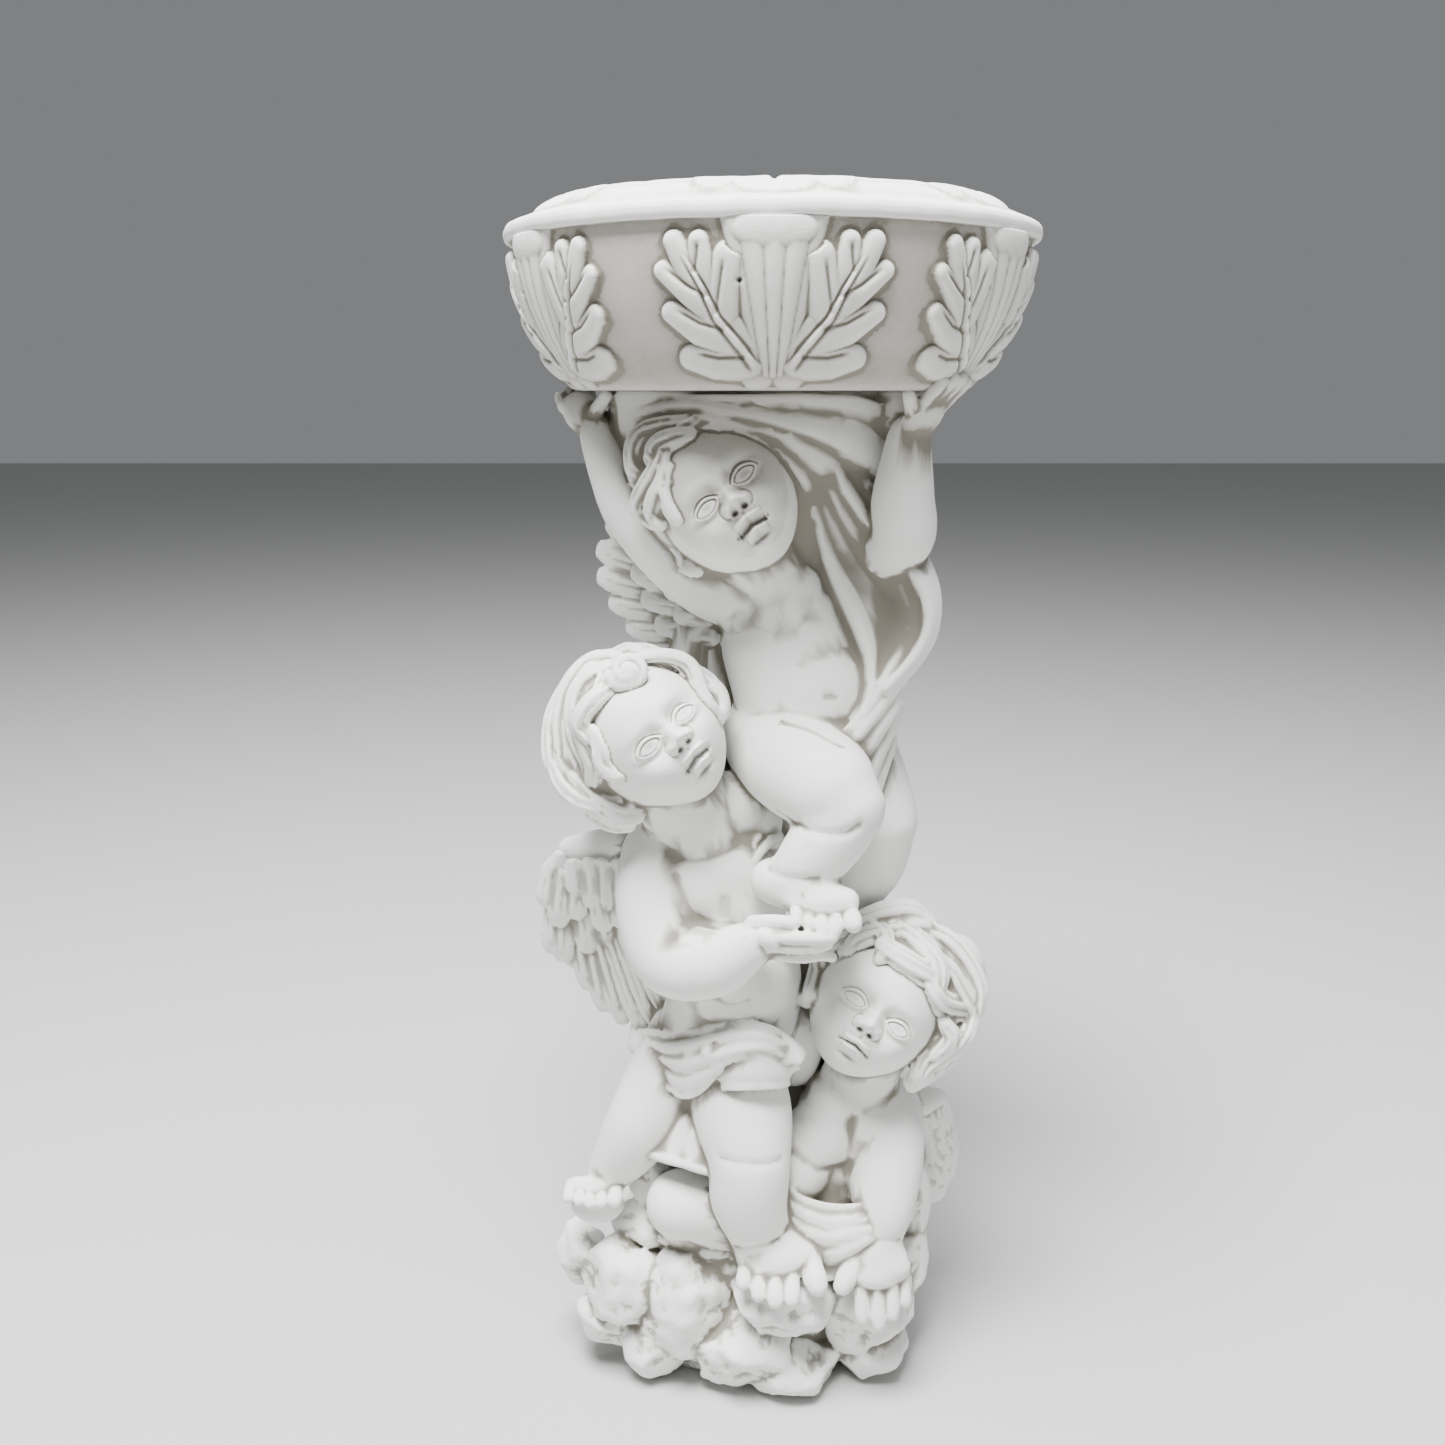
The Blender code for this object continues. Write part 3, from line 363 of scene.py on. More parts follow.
middle_flesh = scored(fused([clay("middle_flesh", middle_body)], voxel=2.0, rubs=26), [
    ([(-70, -93, 440), (-63, -94, 426), (-56, -95, 416), (-47, -101, 408), (-36, -111, 409)], 3.6, 2.2),
    ([(-75, -120, 364), (-57, -124, 354), (-34, -111, 345), (-15, -111, 348)], 3.0, 1.5),
    ([(-11, -126, 418), (-9, -136, 411), (-6, -138, 402)], 2.2, 2.0),
    ([(-24, -113, 141), (-10, -121, 149), (1, -117, 150), (11, -105, 151)], 2.6, 2.5),
    ([(-36, -122, 224), (-23, -128, 223), (-7, -129, 222), (7, -120, 221)], 3.0, 2.2),
    ([(-26, -121, 250), (-16, -122, 249), (-6, -120, 249)], 3.0, 0.8),
    ([(-92, -108, 500), (-70, -104, 497), (-50, -92, 500)], 3.0, 1.2),
])
middle_fingers = clay("middle_fingers", middle_digits)


# The top cherub's body
# It climbs with one knee forward and both arms up, the hands under the basin.
# A hand's wrist, knuckles, middle finger's tip, the way across it, and its thumb's tip.
TOP_HANDS = (
    ((-132, -16, 772), (-146, -8, 791), (-152, 28, 801), (0.75, 0.3, 0.25), (-122, -34, 796)),
    ((98, -80, 770), (110, -92, 790), (127, -104, 809), (0.75, 0.62, 0.0), (92, -108, 797)),
)


def fingers(bm, wrist, knuckles, tips, across, thumb):
    """Four plump fingers fanned along across, and a thumb."""
    wrist, knuckles, tips, across = (np.array(p, float) for p in (wrist, knuckles, tips, across))
    across /= np.linalg.norm(across)
    for place in (-1.5, -0.5, 0.5, 1.5):
        knuckle = knuckles + across * place * 7.0
        tip = tips + across * place * 8.5 - (tips - knuckles) * 0.06 * place**2
        joint = 0.55 * knuckle + 0.45 * tip
        roll(bm, [(*knuckle, 5.4), (*(0.5 * (knuckle + joint)), 5.3), (*joint, 4.7),
                  (*(0.5 * (tip + joint)), 4.8), (*tip, 3.8)], wide_along=across, sides=14, steps=3)
    roll(bm, [(*(wrist + 0.3 * (knuckles - wrist)), 7), (*thumb, 4.6)],
         wide_along=across, sides=14, steps=6)


def top_body(bm):
    limb(bm, (-16, -52, 686, 32), (0, -40, 658, 32), (8, -34, 632, 36))
    limb(bm, (4, -24, 646, 41), (12, -26, 622, 52), (22, -30, 592, 55), (30, -34, 566, 56),
         (32, -26, 532, 52), flat=0.82)
    ball(bm, (32, -48, 572), (46, 35, 46))
    ball(bm, (6, -38, 636), (49, 28, 32), turn=(0, 8, 0))
    ball(bm, (-4, -44, 654), (44, 25, 30))
    ball(bm, (-30, -42, 658), (34, 25, 28))
    ball(bm, (92, -54, 690), (23, 24, 22))
    ball(bm, (-44, -44, 668), (28, 22, 26))
    limb(bm, (-12, -18, 640, 27), (-44, -30, 660, 31), (-74, -36, 684, 29), (-102, -37, 712, 24),
         (-117, -28, 740, 20), (-130, -18, 768, 15))
    limb(bm, (46, -12, 652, 26), (74, -16, 668, 22), (96, -60, 694, 24), (95, -70, 725, 23),
         (97, -78, 768, 16))
    for wrist, knuckles, _, across, _ in TOP_HANDS:
        pad(bm, wrist, knuckles, across, PALM)
    limb(bm, (2, -34, 536, 40), (20, -68, 526, 42), (42, -96, 514, 38), (54, -106, 502, 31))
    limb(bm, (54, -106, 500, 30), (42, -108, 478, 28), (24, -108, 454, 24), (10, -104, 442, 19))
    limb(bm, (2, -98, 441, 18), (20, -110, 441, 20), (36, -120, 438, 17))
    limb(bm, (20, -123, 434, 11.5), (38, -128, 434, 13.5), (54, -127, 435, 11.5))
    limb(bm, (52, -10, 540, 40), (70, -18, 505, 39), (88, -32, 470, 32))
    limb(bm, (88, -32, 468, 30), (84, -24, 432, 28), (76, -6, 398, 21), (70, 2, 370, 18))
    ball(bm, (-32, -60, 722), (44, 46, 54))


def top_digits(bm):
    for hand in TOP_HANDS:
        fingers(bm, *hand)
    digits(bm, (1, 0, 0), ((55, -127, 431), (59, -141, 423), 7.4), ((44, -129, 431), (46, -145, 421), 5.8),
           ((35, -129, 431), (36, -145, 421), 5.6), ((26, -128, 432), (27, -142, 423), 5.3),
           ((18, -126, 433), (18, -138, 427), 5.0))
    ball(bm, (34, -126, 424), (24, 12, 9))


top_flesh = scored(fused([clay("top_flesh", top_body)], voxel=2.0, rubs=26), [
    ([(9, -87, 560), (21, -93, 558), (32, -98, 553), (41, -103, 548), (48, -105, 543)], 2.8, 3.0),
    ([(41, -85, 580), (47, -84, 580)], 2.6, 3.0),
    ([(42, -82, 595)], 2.5, 1.0),
    ([(5, -100, 495), (17, -109, 490), (34, -130, 489), (52, -134, 490), (63, -135, 496)], 3.0, 3.0),
    ([(-1, -110, 454), (10, -125, 453), (23, -131, 454), (34, -131, 455)], 2.6, 2.5),
])
top_fingers = clay("top_fingers", top_digits)


# The three heads
# Chubby children's heads, each with the same carved face: blank ringed eyes, a button nose and
# parted lips. The face is one height map over the skull, read in millimetres from the eye line.
HEAD = Vector((51.0, 58.0, 60.0))      # half a head's width, depth and height, in pose millimetres
EYE_LINE = -5.5                        # from the skull's middle, where a small child's eyes are


def hill(x, z, centre_x, centre_z, wide, high):
    """A smooth round rise of height 1."""
    return np.exp(-((x - centre_x) / wide) ** 2 - ((z - centre_z) / high) ** 2)


def eye_form(x, z, apart):
    """1 on the edge of the eye's opening and 0 in its middle, and how far outside that edge, in mm."""
    across = np.abs(x) - apart
    share = (np.abs(across / 8.8) ** 1.7 + np.abs(z / 4.5) ** 1.7) ** (1 / 1.7) + 1e-6
    return share, np.hypot(across, z) * (1 - 1 / share)


def face_relief(x, z, apart, slant, agape):
    """How far a putto's face stands out at x across and z up from its eye line.

    Its eyes are apart from the middle, the line through them rises by slant, and agape is how
    far its lips are parted, in mm.
    """
    side = np.abs(x)
    eye, outside = eye_form(x, z - slant * x, apart)
    upper = np.clip(0.5 + (z - slant * x) / 3, 0, 1)
    nose = np.clip((4 - z) / 13, 0, 1)
    mouth = -28.8 - 0.008 * side**2 + 0.7 * np.exp(-((side / 2.8) ** 2))
    lips = np.clip(1 - (side / 11.8) ** 2, 0, 1)
    lower = np.clip(1 - (side / 9.0) ** 2, 0, 1)
    return (
        4.0 * hill(x, z, 0, 34, 34, 24)
        + 1.6 * hill(side, z, 18, 14, 13, 6.5)
        - 7.5 * hill(side, z, 16.5, 1, 12, 9.5)
        - 2.6 * hill(side, z, 8.5, 2, 4, 7)
        + 5.4 * np.exp(-((eye / 1.45) ** 4))
        + (0.7 + 0.8 * upper) * np.exp(-(((outside - 1.2) / 0.9) ** 2))
        - (0.8 + 0.7 * upper) * np.exp(-(((outside + 0.1) / 0.7) ** 2))
        - 1.3 * np.exp(-(((outside - 3.4) / 0.8) ** 2)) * np.clip(z / 2, 0, 1)
        + (1.6 + 4.6 * nose) * np.exp(-((side / (4.4 + 2.4 * nose)) ** 2)) * hill(0, z, 0, -3, 1, 9)
        + 9.0 * hill(x, z, 0, -10.4, 6.4, 4.8)
        + 5.6 * hill(side, z, 7.8, -12.6, 3.6, 3.6)
        - 7.5 * hill(side, z, 4.4, -15.8, 2.7, 2.0)
        - 1.2 * np.exp(-(((np.hypot(side - 6.5, z + 11.8) - 6.2) / 1.2) ** 2))
        * np.clip((side - 7) / 3, 0, 1)
        + 7.0 * hill(side, z, 27, -21, 15, 14)
        + 3.0 * hill(side, z, 21, -36, 11, 9)
        + 5.0 * hill(x, z, 0, -28, 15, 10)
        - 1.2 * hill(x, z, 0, -22, 1.8, 3.5)
        + 5.2 * lips**0.7 * np.exp(-(((z - mouth - 3.0 - 0.7 * agape) / 2.4) ** 2))
        + 7.4 * lower**0.7 * np.exp(-(((z - mouth + 3.6 + 0.8 * agape) / 2.5) ** 2))
        - (5.0 + 1.8 * agape) * lips**0.4 * np.exp(-(((z - mouth) / (1.2 + 0.75 * agape)) ** 2))
        - 3.2 * hill(side, z, 12.2, -30.0, 2.4, 2.0)
        - 3.8 * hill(x, z, 0, -39.0, 9, 2.8)
        + 6.4 * hill(x, z, 0, -46, 11, 7)
    )


def head_frame(centre, tilt, nod, turn):
    """Places a head that faces -Y: tilted on its own face, then nodding up, then turned."""
    spin = (
        Matrix.Rotation(math.radians(turn), 4, "Z")
        @ Matrix.Rotation(math.radians(-nod), 4, "X")
        @ Matrix.Rotation(math.radians(-tilt), 4, "Y")
    )
    return Matrix.Translation(Vector(centre)) @ spin


LOW_HEAD = head_frame((86, -62, 323), tilt=-35, nod=22, turn=-2)
MIDDLE_HEAD = head_frame((-88, -78, 547), tilt=46, nod=23, turn=10)
TOP_HEAD = head_frame((-34, -62, 723), tilt=40, nod=14, turn=-4)
# Each head with how far its eyes are from the middle, their slant, and how far its lips part.
FACES = ((LOW_HEAD, 19.8, 0.0, 0.2), (MIDDLE_HEAD, 17.8, -0.08, 2.2), (TOP_HEAD, 17.7, 0.07, 2.4))


def ear(bm, place, side):
    """A small flat ear: a shell, its rolled rim and a round lobe."""
    ball(bm, place @ Vector((side * (HEAD.x - 2), 7, -10)), (7, 8, 11))
    rim = []
    for angle in range(-70, 221, 29):
        turn = math.radians(angle)
        spot = Vector((side * (HEAD.x + 1.5), 7 + 7.5 * math.cos(turn), -9 + 10.5 * math.sin(turn)))
        rim.append((*(place @ spot), 2.6))
    roll(bm, rim, wide_along=place.to_3x3() @ Vector((1, 0, 0)), sides=14, steps=3)
    ball(bm, place @ Vector((side * (HEAD.x - 1), 2, -20)), (4.5, 4.5, 5.5))


def head(bm, place, *features):
    made = bmesh.ops.create_icosphere(bm, subdivisions=6, radius=1)["verts"]
    unit = np.array([v.co for v in made])
    x, y, z = (unit * np.array(HEAD)).T
    jaw = np.clip(-z / HEAD.z, 0, 1)
    x *= 1 - 0.14 * jaw**2
    y = np.where(y > 0, y * (1 - 0.35 * jaw), y * (1 - 0.10 * jaw))
    y -= np.clip(-unit[:, 1] * 1.6, 0, 1) * face_relief(x, z - EYE_LINE, *features)
    for v, *spot in zip(made, x, y, z):
        v.co = place @ Vector(spot)
    for side in (-1, 1):
        ear(bm, place, side)


def face_set(points, place, *features):
    """Points in pose mm, with those that lie on a head's face set exactly to its height map."""
    local = np.c_[points, np.ones(len(points))] @ np.array(place.inverted()).T
    x, y, z = local[:, 0], local[:, 1], local[:, 2]
    jaw = np.clip(-z / HEAD.z, 0, 1)
    across, up = x / (HEAD.x * (1 - 0.14 * jaw**2)), z / HEAD.z
    depth = np.sqrt(np.clip(1 - across**2 - up**2, 1e-4, 1))
    relief = face_relief(x, z - EYE_LINE, *features)
    goal = -HEAD.y * depth * (1 - 0.10 * jaw) - np.clip(depth * 1.6, 0, 1) * relief
    near = np.clip(3.0 - np.abs(y - goal), 0, 1) * np.clip((0.82 - across**2 - up**2) / 0.1, 0, 1)
    moved = np.c_[x, y + (goal - y) * near, z, np.ones(len(points))] @ np.array(place).T
    return moved[:, :3], near


def heads(bm):
    for face in FACES:
        head(bm, *face)


bare_heads = clay("bare_heads", heads)


# The hair
# Thick wavy locks, each combed into strands with a toothed tool and laid over a cap of clay. The
# middle cherub has a lock rolled into a spiral over its forehead. The backs are plainer.
def scalp(down, around, lift):
    """The point of the skull at an angle down from the crown and a bearing round it; 0 is the back."""
    return Vector((
        (HEAD.x + lift) * math.sin(down) * math.sin(around),
        (HEAD.y + lift) * math.sin(down) * math.cos(around),
        (HEAD.z + lift) * math.cos(down),
    ))


def tress(bm, place, thick, *spots):
    """A lock of two combed strands wound round each other, under spots on its outer face."""
    line = curve_through(spots, 4)
    share = np.linspace(0, 1, len(line))
    body = thick * (0.55 + 0.45 * np.sin(math.pi * (0.15 + 0.72 * share)))
    inward = np.array(place.translation) - line
    inward /= np.linalg.norm(inward, axis=1, keepdims=True)
    beside_it = np.cross(np.gradient(line, axis=0), inward)
    beside_it /= np.linalg.norm(beside_it, axis=1, keepdims=True)
    run = np.r_[0, np.cumsum(np.linalg.norm(np.diff(line, axis=0), axis=1))]
    for strand in range(2):
        turn = math.pi * strand + 0.4 * thick + run[:, None] / (4.5 * thick)
        wound = np.cos(turn) * beside_it + np.sin(turn) * inward
        middle = line + body[:, None] * (0.75 * inward + 0.36 * wound)
        roll(bm, np.c_[middle, 0.76 * body], flat=1.05, wide_along=inward.mean(0), sides=63, steps=1,
             combed=0.24, strands=7, twist=0.07)


def cap_of_hair(bm, place, count, seed, thick, swell):
    """The mass under the locks, standing further off on the side of swell, and the locks behind."""
    rng = np.random.default_rng(seed)
    swell = Vector(swell)
    ball(bm, place @ (Vector((0, 14, 12)) + swell * 0.4), (HEAD.x + 6, HEAD.y - 4, HEAD.z - 2))
    for layer, (first, last) in enumerate(((0.15, 0.62), (0.45, 1.0))):
        for i in range(count):
            around = math.tau * (i + 0.5 * layer + rng.uniform(-0.15, 0.15)) / count - math.pi
            wave = rng.uniform(0, math.tau)
            fall = 2.0 if abs(around) < math.radians(110) else 1.2
            spots = []
            for step in range(7):
                share = step / 6
                down = fall * (first + (last - first) * share)
                sway = 0.18 * math.sin(wave + 5.0 * share) * (0.4 + share)
                spot = scalp(down, around + sway, 11 - 2 * layer + 2 * math.sin(wave + 8 * share))
                spots.append(place @ (spot + swell * max(spot.normalized().dot(swell.normalized()), 0)))
            if min(spot.y for spot in spots) > place.translation.y - 12:
                tress(bm, place, thick, *spots)


def low_hair(bm):
    cap_of_hair(bm, LOW_HEAD, count=11, seed=3, thick=12, swell=(6, 4, 12))
    ball(bm, (106, -50, 380), (32, 24, 25))
    ball(bm, (148, -54, 346), (26, 24, 34))
    for thick, *spots in (
        (16, (70, -42, 390), (84, -46, 399), (100, -48, 404), (115, -48, 402), (127, -50, 390)),
        (15, (118, -50, 398), (132, -52, 390), (148, -56, 380), (160, -62, 364), (168, -70, 344),
         (167, -76, 328)),
        (14, (100, -72, 394), (116, -72, 390), (132, -74, 378), (146, -76, 364), (154, -78, 346),
         (160, -80, 330)),
        (9, (74, -46, 394), (84, -60, 394), (91, -78, 391), (90, -92, 384), (84, -95, 378)),
        (11, (88, -90, 389), (98, -98, 384), (108, -102, 377), (119, -102, 369), (127, -98, 363)),
        (12, (98, -62, 394), (110, -76, 391), (122, -88, 383), (131, -96, 370), (131, -101, 357)),
        (11, (122, -98, 366), (128, -102, 354), (137, -98, 342), (150, -88, 332), (161, -82, 326)),
        (10, (163, -80, 324), (159, -88, 312), (149, -92, 301), (137, -94, 292), (127, -95, 284),
         (120, -97, 274)),
        (9, (140, -98, 326), (146, -96, 314), (140, -96, 302), (130, -96, 294)),
        (9, (160, -72, 308), (152, -80, 294), (140, -84, 282), (126, -88, 272), (114, -90, 264)),
    ):
        tress(bm, LOW_HEAD, thick, *spots)


def middle_hair(bm):
    cap_of_hair(bm, MIDDLE_HEAD, count=11, seed=2, thick=11, swell=(-7, 6, 5))
    for thick, *spots in (
        (7.5, (-96, -84, 614), (-78, -84, 615), (-63, -84, 610), (-54, -88, 600), (-50, -96, 588),
         (-44, -102, 578), (-36, -98, 568)),
        (6, (-34, -96, 566), (-31, -88, 576), (-36, -84, 587), (-46, -84, 591), (-52, -92, 584)),
        (10, (-116, -114, 594), (-129, -116, 586), (-138, -114, 575), (-141, -112, 564), (-136, -116, 556)),
        (13, (-120, -94, 606), (-134, -92, 600), (-145, -92, 589), (-150, -94, 575), (-151, -96, 560),
         (-148, -98, 545), (-142, -100, 530), (-138, -100, 516)),
        (14, (-118, -72, 610), (-136, -70, 607), (-150, -72, 596), (-160, -74, 580), (-166, -78, 563),
         (-167, -82, 547), (-166, -86, 532), (-160, -90, 520)),
        (8, (-142, -110, 556), (-137, -114, 546), (-133, -113, 534), (-134, -106, 520)),
        (7.5, (-132, -120, 562), (-126, -125, 551), (-124, -125, 538), (-118, -126, 532),
         (-110, -126, 529)),
        (11, (-164, -86, 534), (-160, -92, 518), (-152, -96, 507), (-143, -98, 500), (-134, -99, 497)),
        (8, (-150, -96, 520), (-144, -98, 510), (-138, -100, 502), (-132, -102, 494)),
        (9, (-138, -96, 508), (-131, -100, 497), (-121, -101, 490), (-110, -100, 487), (-100, -97, 488)),
        (8, (-146, -92, 500), (-134, -95, 488), (-120, -96, 481), (-106, -94, 480)),
        (9, (-100, -78, 610), (-110, -90, 606), (-122, -104, 598), (-128, -112, 588)),
    ):
        tress(bm, MIDDLE_HEAD, thick, *spots)
    spiral = []
    for i in range(29):
        turn = math.radians(-160 + 23 * i)
        reach = 14.5 * (1 - 0.032 * i)
        spiral.append((-104 + reach * math.cos(turn), -110 + 0.45 * reach * math.sin(turn) - 0.22 * i,
                       605 + 0.90 * reach * math.sin(turn), 3.7))
    roll(bm, spiral, sides=20, steps=2, wide_along=(0, -0.9, 0.42))
    ball(bm, (-104, -98, 602), (14, 9, 13))


def top_hair(bm):
    cap_of_hair(bm, TOP_HEAD, count=10, seed=1, thick=10, swell=(-4, 4, 4))
    for thick, *spots in (
        (10, (-50, -88, 781), (-62, -90, 779), (-77, -80, 778), (-91, -70, 775), (-101, -68, 767),
         (-105, -68, 756), (-105, -70, 746), (-99, -72, 737)),
        (8.5, (-60, -99, 772), (-73, -96, 770), (-84, -90, 765), (-88, -88, 756), (-83, -94, 749)),
        (8.5, (-91, -72, 767), (-97, -70, 757), (-96, -72, 746), (-91, -80, 738)),
        (9, (-80, -96, 757), (-85, -96, 746), (-92, -90, 735), (-99, -78, 724), (-101, -74, 714)),
        (8.5, (-77, -103, 749), (-80, -104, 737), (-86, -98, 726), (-89, -90, 715), (-85, -91, 708)),
        (5.5, (-80, -104, 737), (-79, -106, 726), (-75, -108, 717), (-69, -110, 710)),
        (7, (-99, -72, 730), (-99, -74, 719), (-94, -78, 710), (-82, -92, 706)),
    ):
        tress(bm, TOP_HEAD, thick, *spots)


hair = clay("hair", low_hair, middle_hair, top_hair)


# The wings
# A fleshy arm, and blades that overlap like tiles in three or four rows: long ones at the edge,
# short round ones over their roots. Every blade is combed along its shaft.
def feather(bm, root, tip, width, normal, lift=0.0):
    """A blade with a round tip, widest past its middle, and its shaft on the outer face."""
    root, tip, normal = (np.array(p, float) for p in (root, tip, normal))
    normal /= np.linalg.norm(normal)
    root, tip = root + normal * lift, tip + normal * lift * 0.7
    shape = ((0, 0.6), (0.45, 0.9), (0.8, 1.0), (0.97, 0.62))
    rows = [(*(root + (tip - root) * share), width * wide) for share, wide in shape]
    across = np.cross(tip - root, normal)
    roll(bm, rows, flat=0.33, wide_along=across, sides=54, steps=4, combed=0.16, strands=9)
    rise = normal * width * 0.35
    shaft = [(*(root + (tip - root) * share + rise * wide), 1.9 * wide) for share, wide in shape[:3]]
    roll(bm, shaft, sides=10, steps=3)


def wing(bm, arm, tips, normal, blades):
    """Three rows of feathers from a fleshy arm to the line of tips."""
    roll(bm, arm, flat=0.8, sides=24)
    normal = np.array(normal, float) / np.linalg.norm(normal)
    roots = curve_through([row[:3] for row in arm], 8)
    ends = curve_through(tips, 8)
    spread = np.linalg.norm(ends[-1] - ends[0]) / blades
    for row, (share, lift, extra) in enumerate(((1.0, 0.0, 1.0), (0.66, 4.0, 1.0), (0.38, 7.5, 0.9))):
        for i in range(blades):
            s = (i + 0.5 * (row % 2)) / (blades - 0.5)
            root = roots[round(s * (len(roots) - 1))]
            end = ends[round(s * (len(ends) - 1))]
            feather(bm, root, root + (end - root) * share, (0.75 * spread + 2.5) * extra, normal, lift)


def tiled(bm, normal, rows):
    """Rows of feathers, each row's lift and width before its blades' roots and tips."""
    for lift, width, *blades in rows:
        for root, tip in blades:
            feather(bm, root, tip, width, normal, lift)


def middle_wing(bm):
    roll(bm, [(-106, -42, 452, 12), (-128, -32, 447, 13.5), (-146, -27, 443, 13), (-158, -22, 441, 10)],
         sides=28)
    tiled(bm, (-0.2, -1, 0.1), (
        (0, 9, ((-165, -15, 391), (-160, -4, 330)), ((-159, -17, 391), (-148, -4, 309)),
         ((-152, -18, 392), (-135, -2, 288)), ((-146, -20, 392), (-119, -4, 277)),
         ((-138, -21, 392), (-102, -12, 275)), ((-130, -23, 397), (-89, -22, 282)),
         ((-121, -26, 400), (-80, -30, 298))),
        (6, 9, ((-171, -18, 413), (-177, -6, 344)), ((-165, -20, 410), (-168, -5, 336)),
         ((-154, -22, 406), (-146, -10, 347)), ((-133, -25, 407), (-130, -14, 356)),
         ((-118, -28, 405), (-106, -22, 350))),
        (12, 9.5, ((-170, -20, 429), (-178, -14, 390)), ((-162, -24, 426), (-169, -13, 373)),
         ((-153, -26, 425), (-154, -17, 381)), ((-134, -28, 416), (-131, -19, 371)),
         ((-117, -30, 413), (-114, -24, 375))),
        (18, 8.5, ((-150, -27, 437), (-150, -22, 404)), ((-138, -30, 439), (-137, -22, 393)),
         ((-127, -32, 439), (-127, -23, 392)), ((-115, -33, 439), (-114, -27, 398)),
         ((-160, -22, 441), (-176, -13, 414))),
    ))


def top_wing(bm):
    roll(bm, [(-50, -4, 668, 13), (-48, -8, 640, 14), (-44, -10, 614, 14), (-40, -10, 588, 12)], sides=28)
    tiled(bm, (-0.35, -1, 0.1), (
        (0, 11.5, ((-60, -2, 664), (-128, 22, 700)), ((-60, -4, 654), (-137, 24, 678)),
         ((-58, -6, 643), (-137, 24, 656)), ((-56, -8, 630), (-128, 24, 635)),
         ((-54, -9, 617), (-114, 22, 616)), ((-50, -10, 604), (-98, 18, 599)),
         ((-44, -8, 590), (-80, 14, 584))),
        (7, 9.5, ((-50, -10, 662), (-104, 10, 684)), ((-50, -10, 648), (-107, 10, 661)),
         ((-48, -12, 634), (-99, 8, 640)), ((-46, -14, 620), (-88, 6, 619)),
         ((-42, -15, 606), (-73, 2, 601))),
        (14, 8.5, ((-44, -14, 656), (-79, -4, 670)), ((-42, -15, 642), (-78, -6, 650)),
         ((-40, -16, 628), (-71, -8, 631)), ((-36, -17, 612), (-60, -9, 611))),
    ))


def wings(bm):
    middle_wing(bm)
    top_wing(bm)
    ball(bm, (-8, -40, 456), (20, 20, 16))
    for tuft in (((-4, -50, 471), (-16, -56, 474), (-23, -64, 469), (-25, -70, 460)),
                 ((0, -54, 467), (-12, -60, 468), (-17, -66, 461), (-18, -72, 452)),
                 ((8, -56, 463), (1, -62, 460), (-5, -68, 455), (-11, -74, 449)),
                 ((-9, -62, 464), (-13, -66, 459), (-13, -72, 449))):
        roll(bm, [(*spot, 3.6) for spot in tuft], sides=16, combed=0.1)
    wing(bm, [(112, -34, 214, 13), (126, -32, 222, 14), (142, -24, 220, 12), (150, -16, 200, 9)],
         [(157, -20, 192), (161, -18, 170), (158, -16, 142), (146, -14, 116), (128, -8, 100)],
         normal=(0.5, -0.9, 0.1), blades=6)
    wing(bm, [(60, 20, 226, 11), (72, 46, 236, 11), (86, 62, 224, 8)],
         [(104, 56, 190), (112, 58, 160), (108, 62, 128), (90, 68, 104), (70, 72, 98)],
         normal=(0.2, 1, 0.1), blades=6)
    wing(bm, [(-20, 10, 440, 11), (2, 0, 462, 11), (18, 8, 480, 8)],
         [(-20, 60, 330), (10, 66, 350), (34, 60, 390), (42, 46, 430), (30, 20, 470)],
         normal=(0.2, 1, 0.1), blades=7)
    wing(bm, [(46, 26, 640, 10), (66, 34, 650, 11), (86, 36, 640, 8)],
         [(94, 30, 690), (101, 32, 655), (99, 34, 610), (88, 37, 560), (68, 40, 530)],
         normal=(0.3, 1, 0.1), blades=7)


feathers = clay("feathers", wings)


# The cloths
# Sheets of clay laid over the figures and pushed into soft folds. One hangs from under the basin
# past the top cherub and opens like a shell at its side, one is wound round the middle cherub's
# hips, one lies over the low cherub's lap, and plain folds fall behind the whole group.
FOLD_STEPS = 10                        # rows of cloth from one ridge to the next


def drape(bm, thick, *lines):
    """A closed sheet of cloth through the ridges of its folds, with a trough between two ridges.

    Each line is its ridge's height and its spots, and lies to the left of the line before it as
    one follows it.
    """
    count = 6 * max(len(line) for line in lines)
    laid = []
    for _, *spots in lines:
        line = curve_through(spots, 6)
        run = np.r_[0, np.cumsum(np.linalg.norm(np.diff(line, axis=0), axis=1))]
        laid.append([np.interp(np.linspace(0, run[-1], count), run, line[:, axis]) for axis in range(3)])
    sheet = curve_through(np.array(laid).reshape(len(lines), -1), FOLD_STEPS)
    sheet = sheet.reshape(-1, 3, count).transpose(0, 2, 1)
    out = np.cross(np.gradient(sheet, axis=1), np.gradient(sheet, axis=0))
    out /= np.linalg.norm(out, axis=2, keepdims=True)
    share = np.arange(len(sheet)) / FOLD_STEPS
    rise = np.interp(share, range(len(lines)), [line[0] for line in lines])
    rise = rise * (2 * np.abs(np.cos(math.pi * share)) ** 0.8 - 1)
    upper = [[bm.verts.new(spot) for spot in row] for row in sheet + out * rise[:, None, None]]
    under = [[bm.verts.new(spot) for spot in row] for row in sheet - out * thick]
    for side in (upper, under):
        for near, far in zip(side, side[1:]):
            for i in range(count - 1):
                bm.faces.new((near[i], near[i + 1], far[i + 1], far[i]))
    rims = [
        [*side[0], *[row[-1] for row in side[1:-1]], *side[-1][::-1], *[row[0] for row in side[-2:0:-1]]]
        for side in (upper, under)
    ]
    skinned(bm, rims)


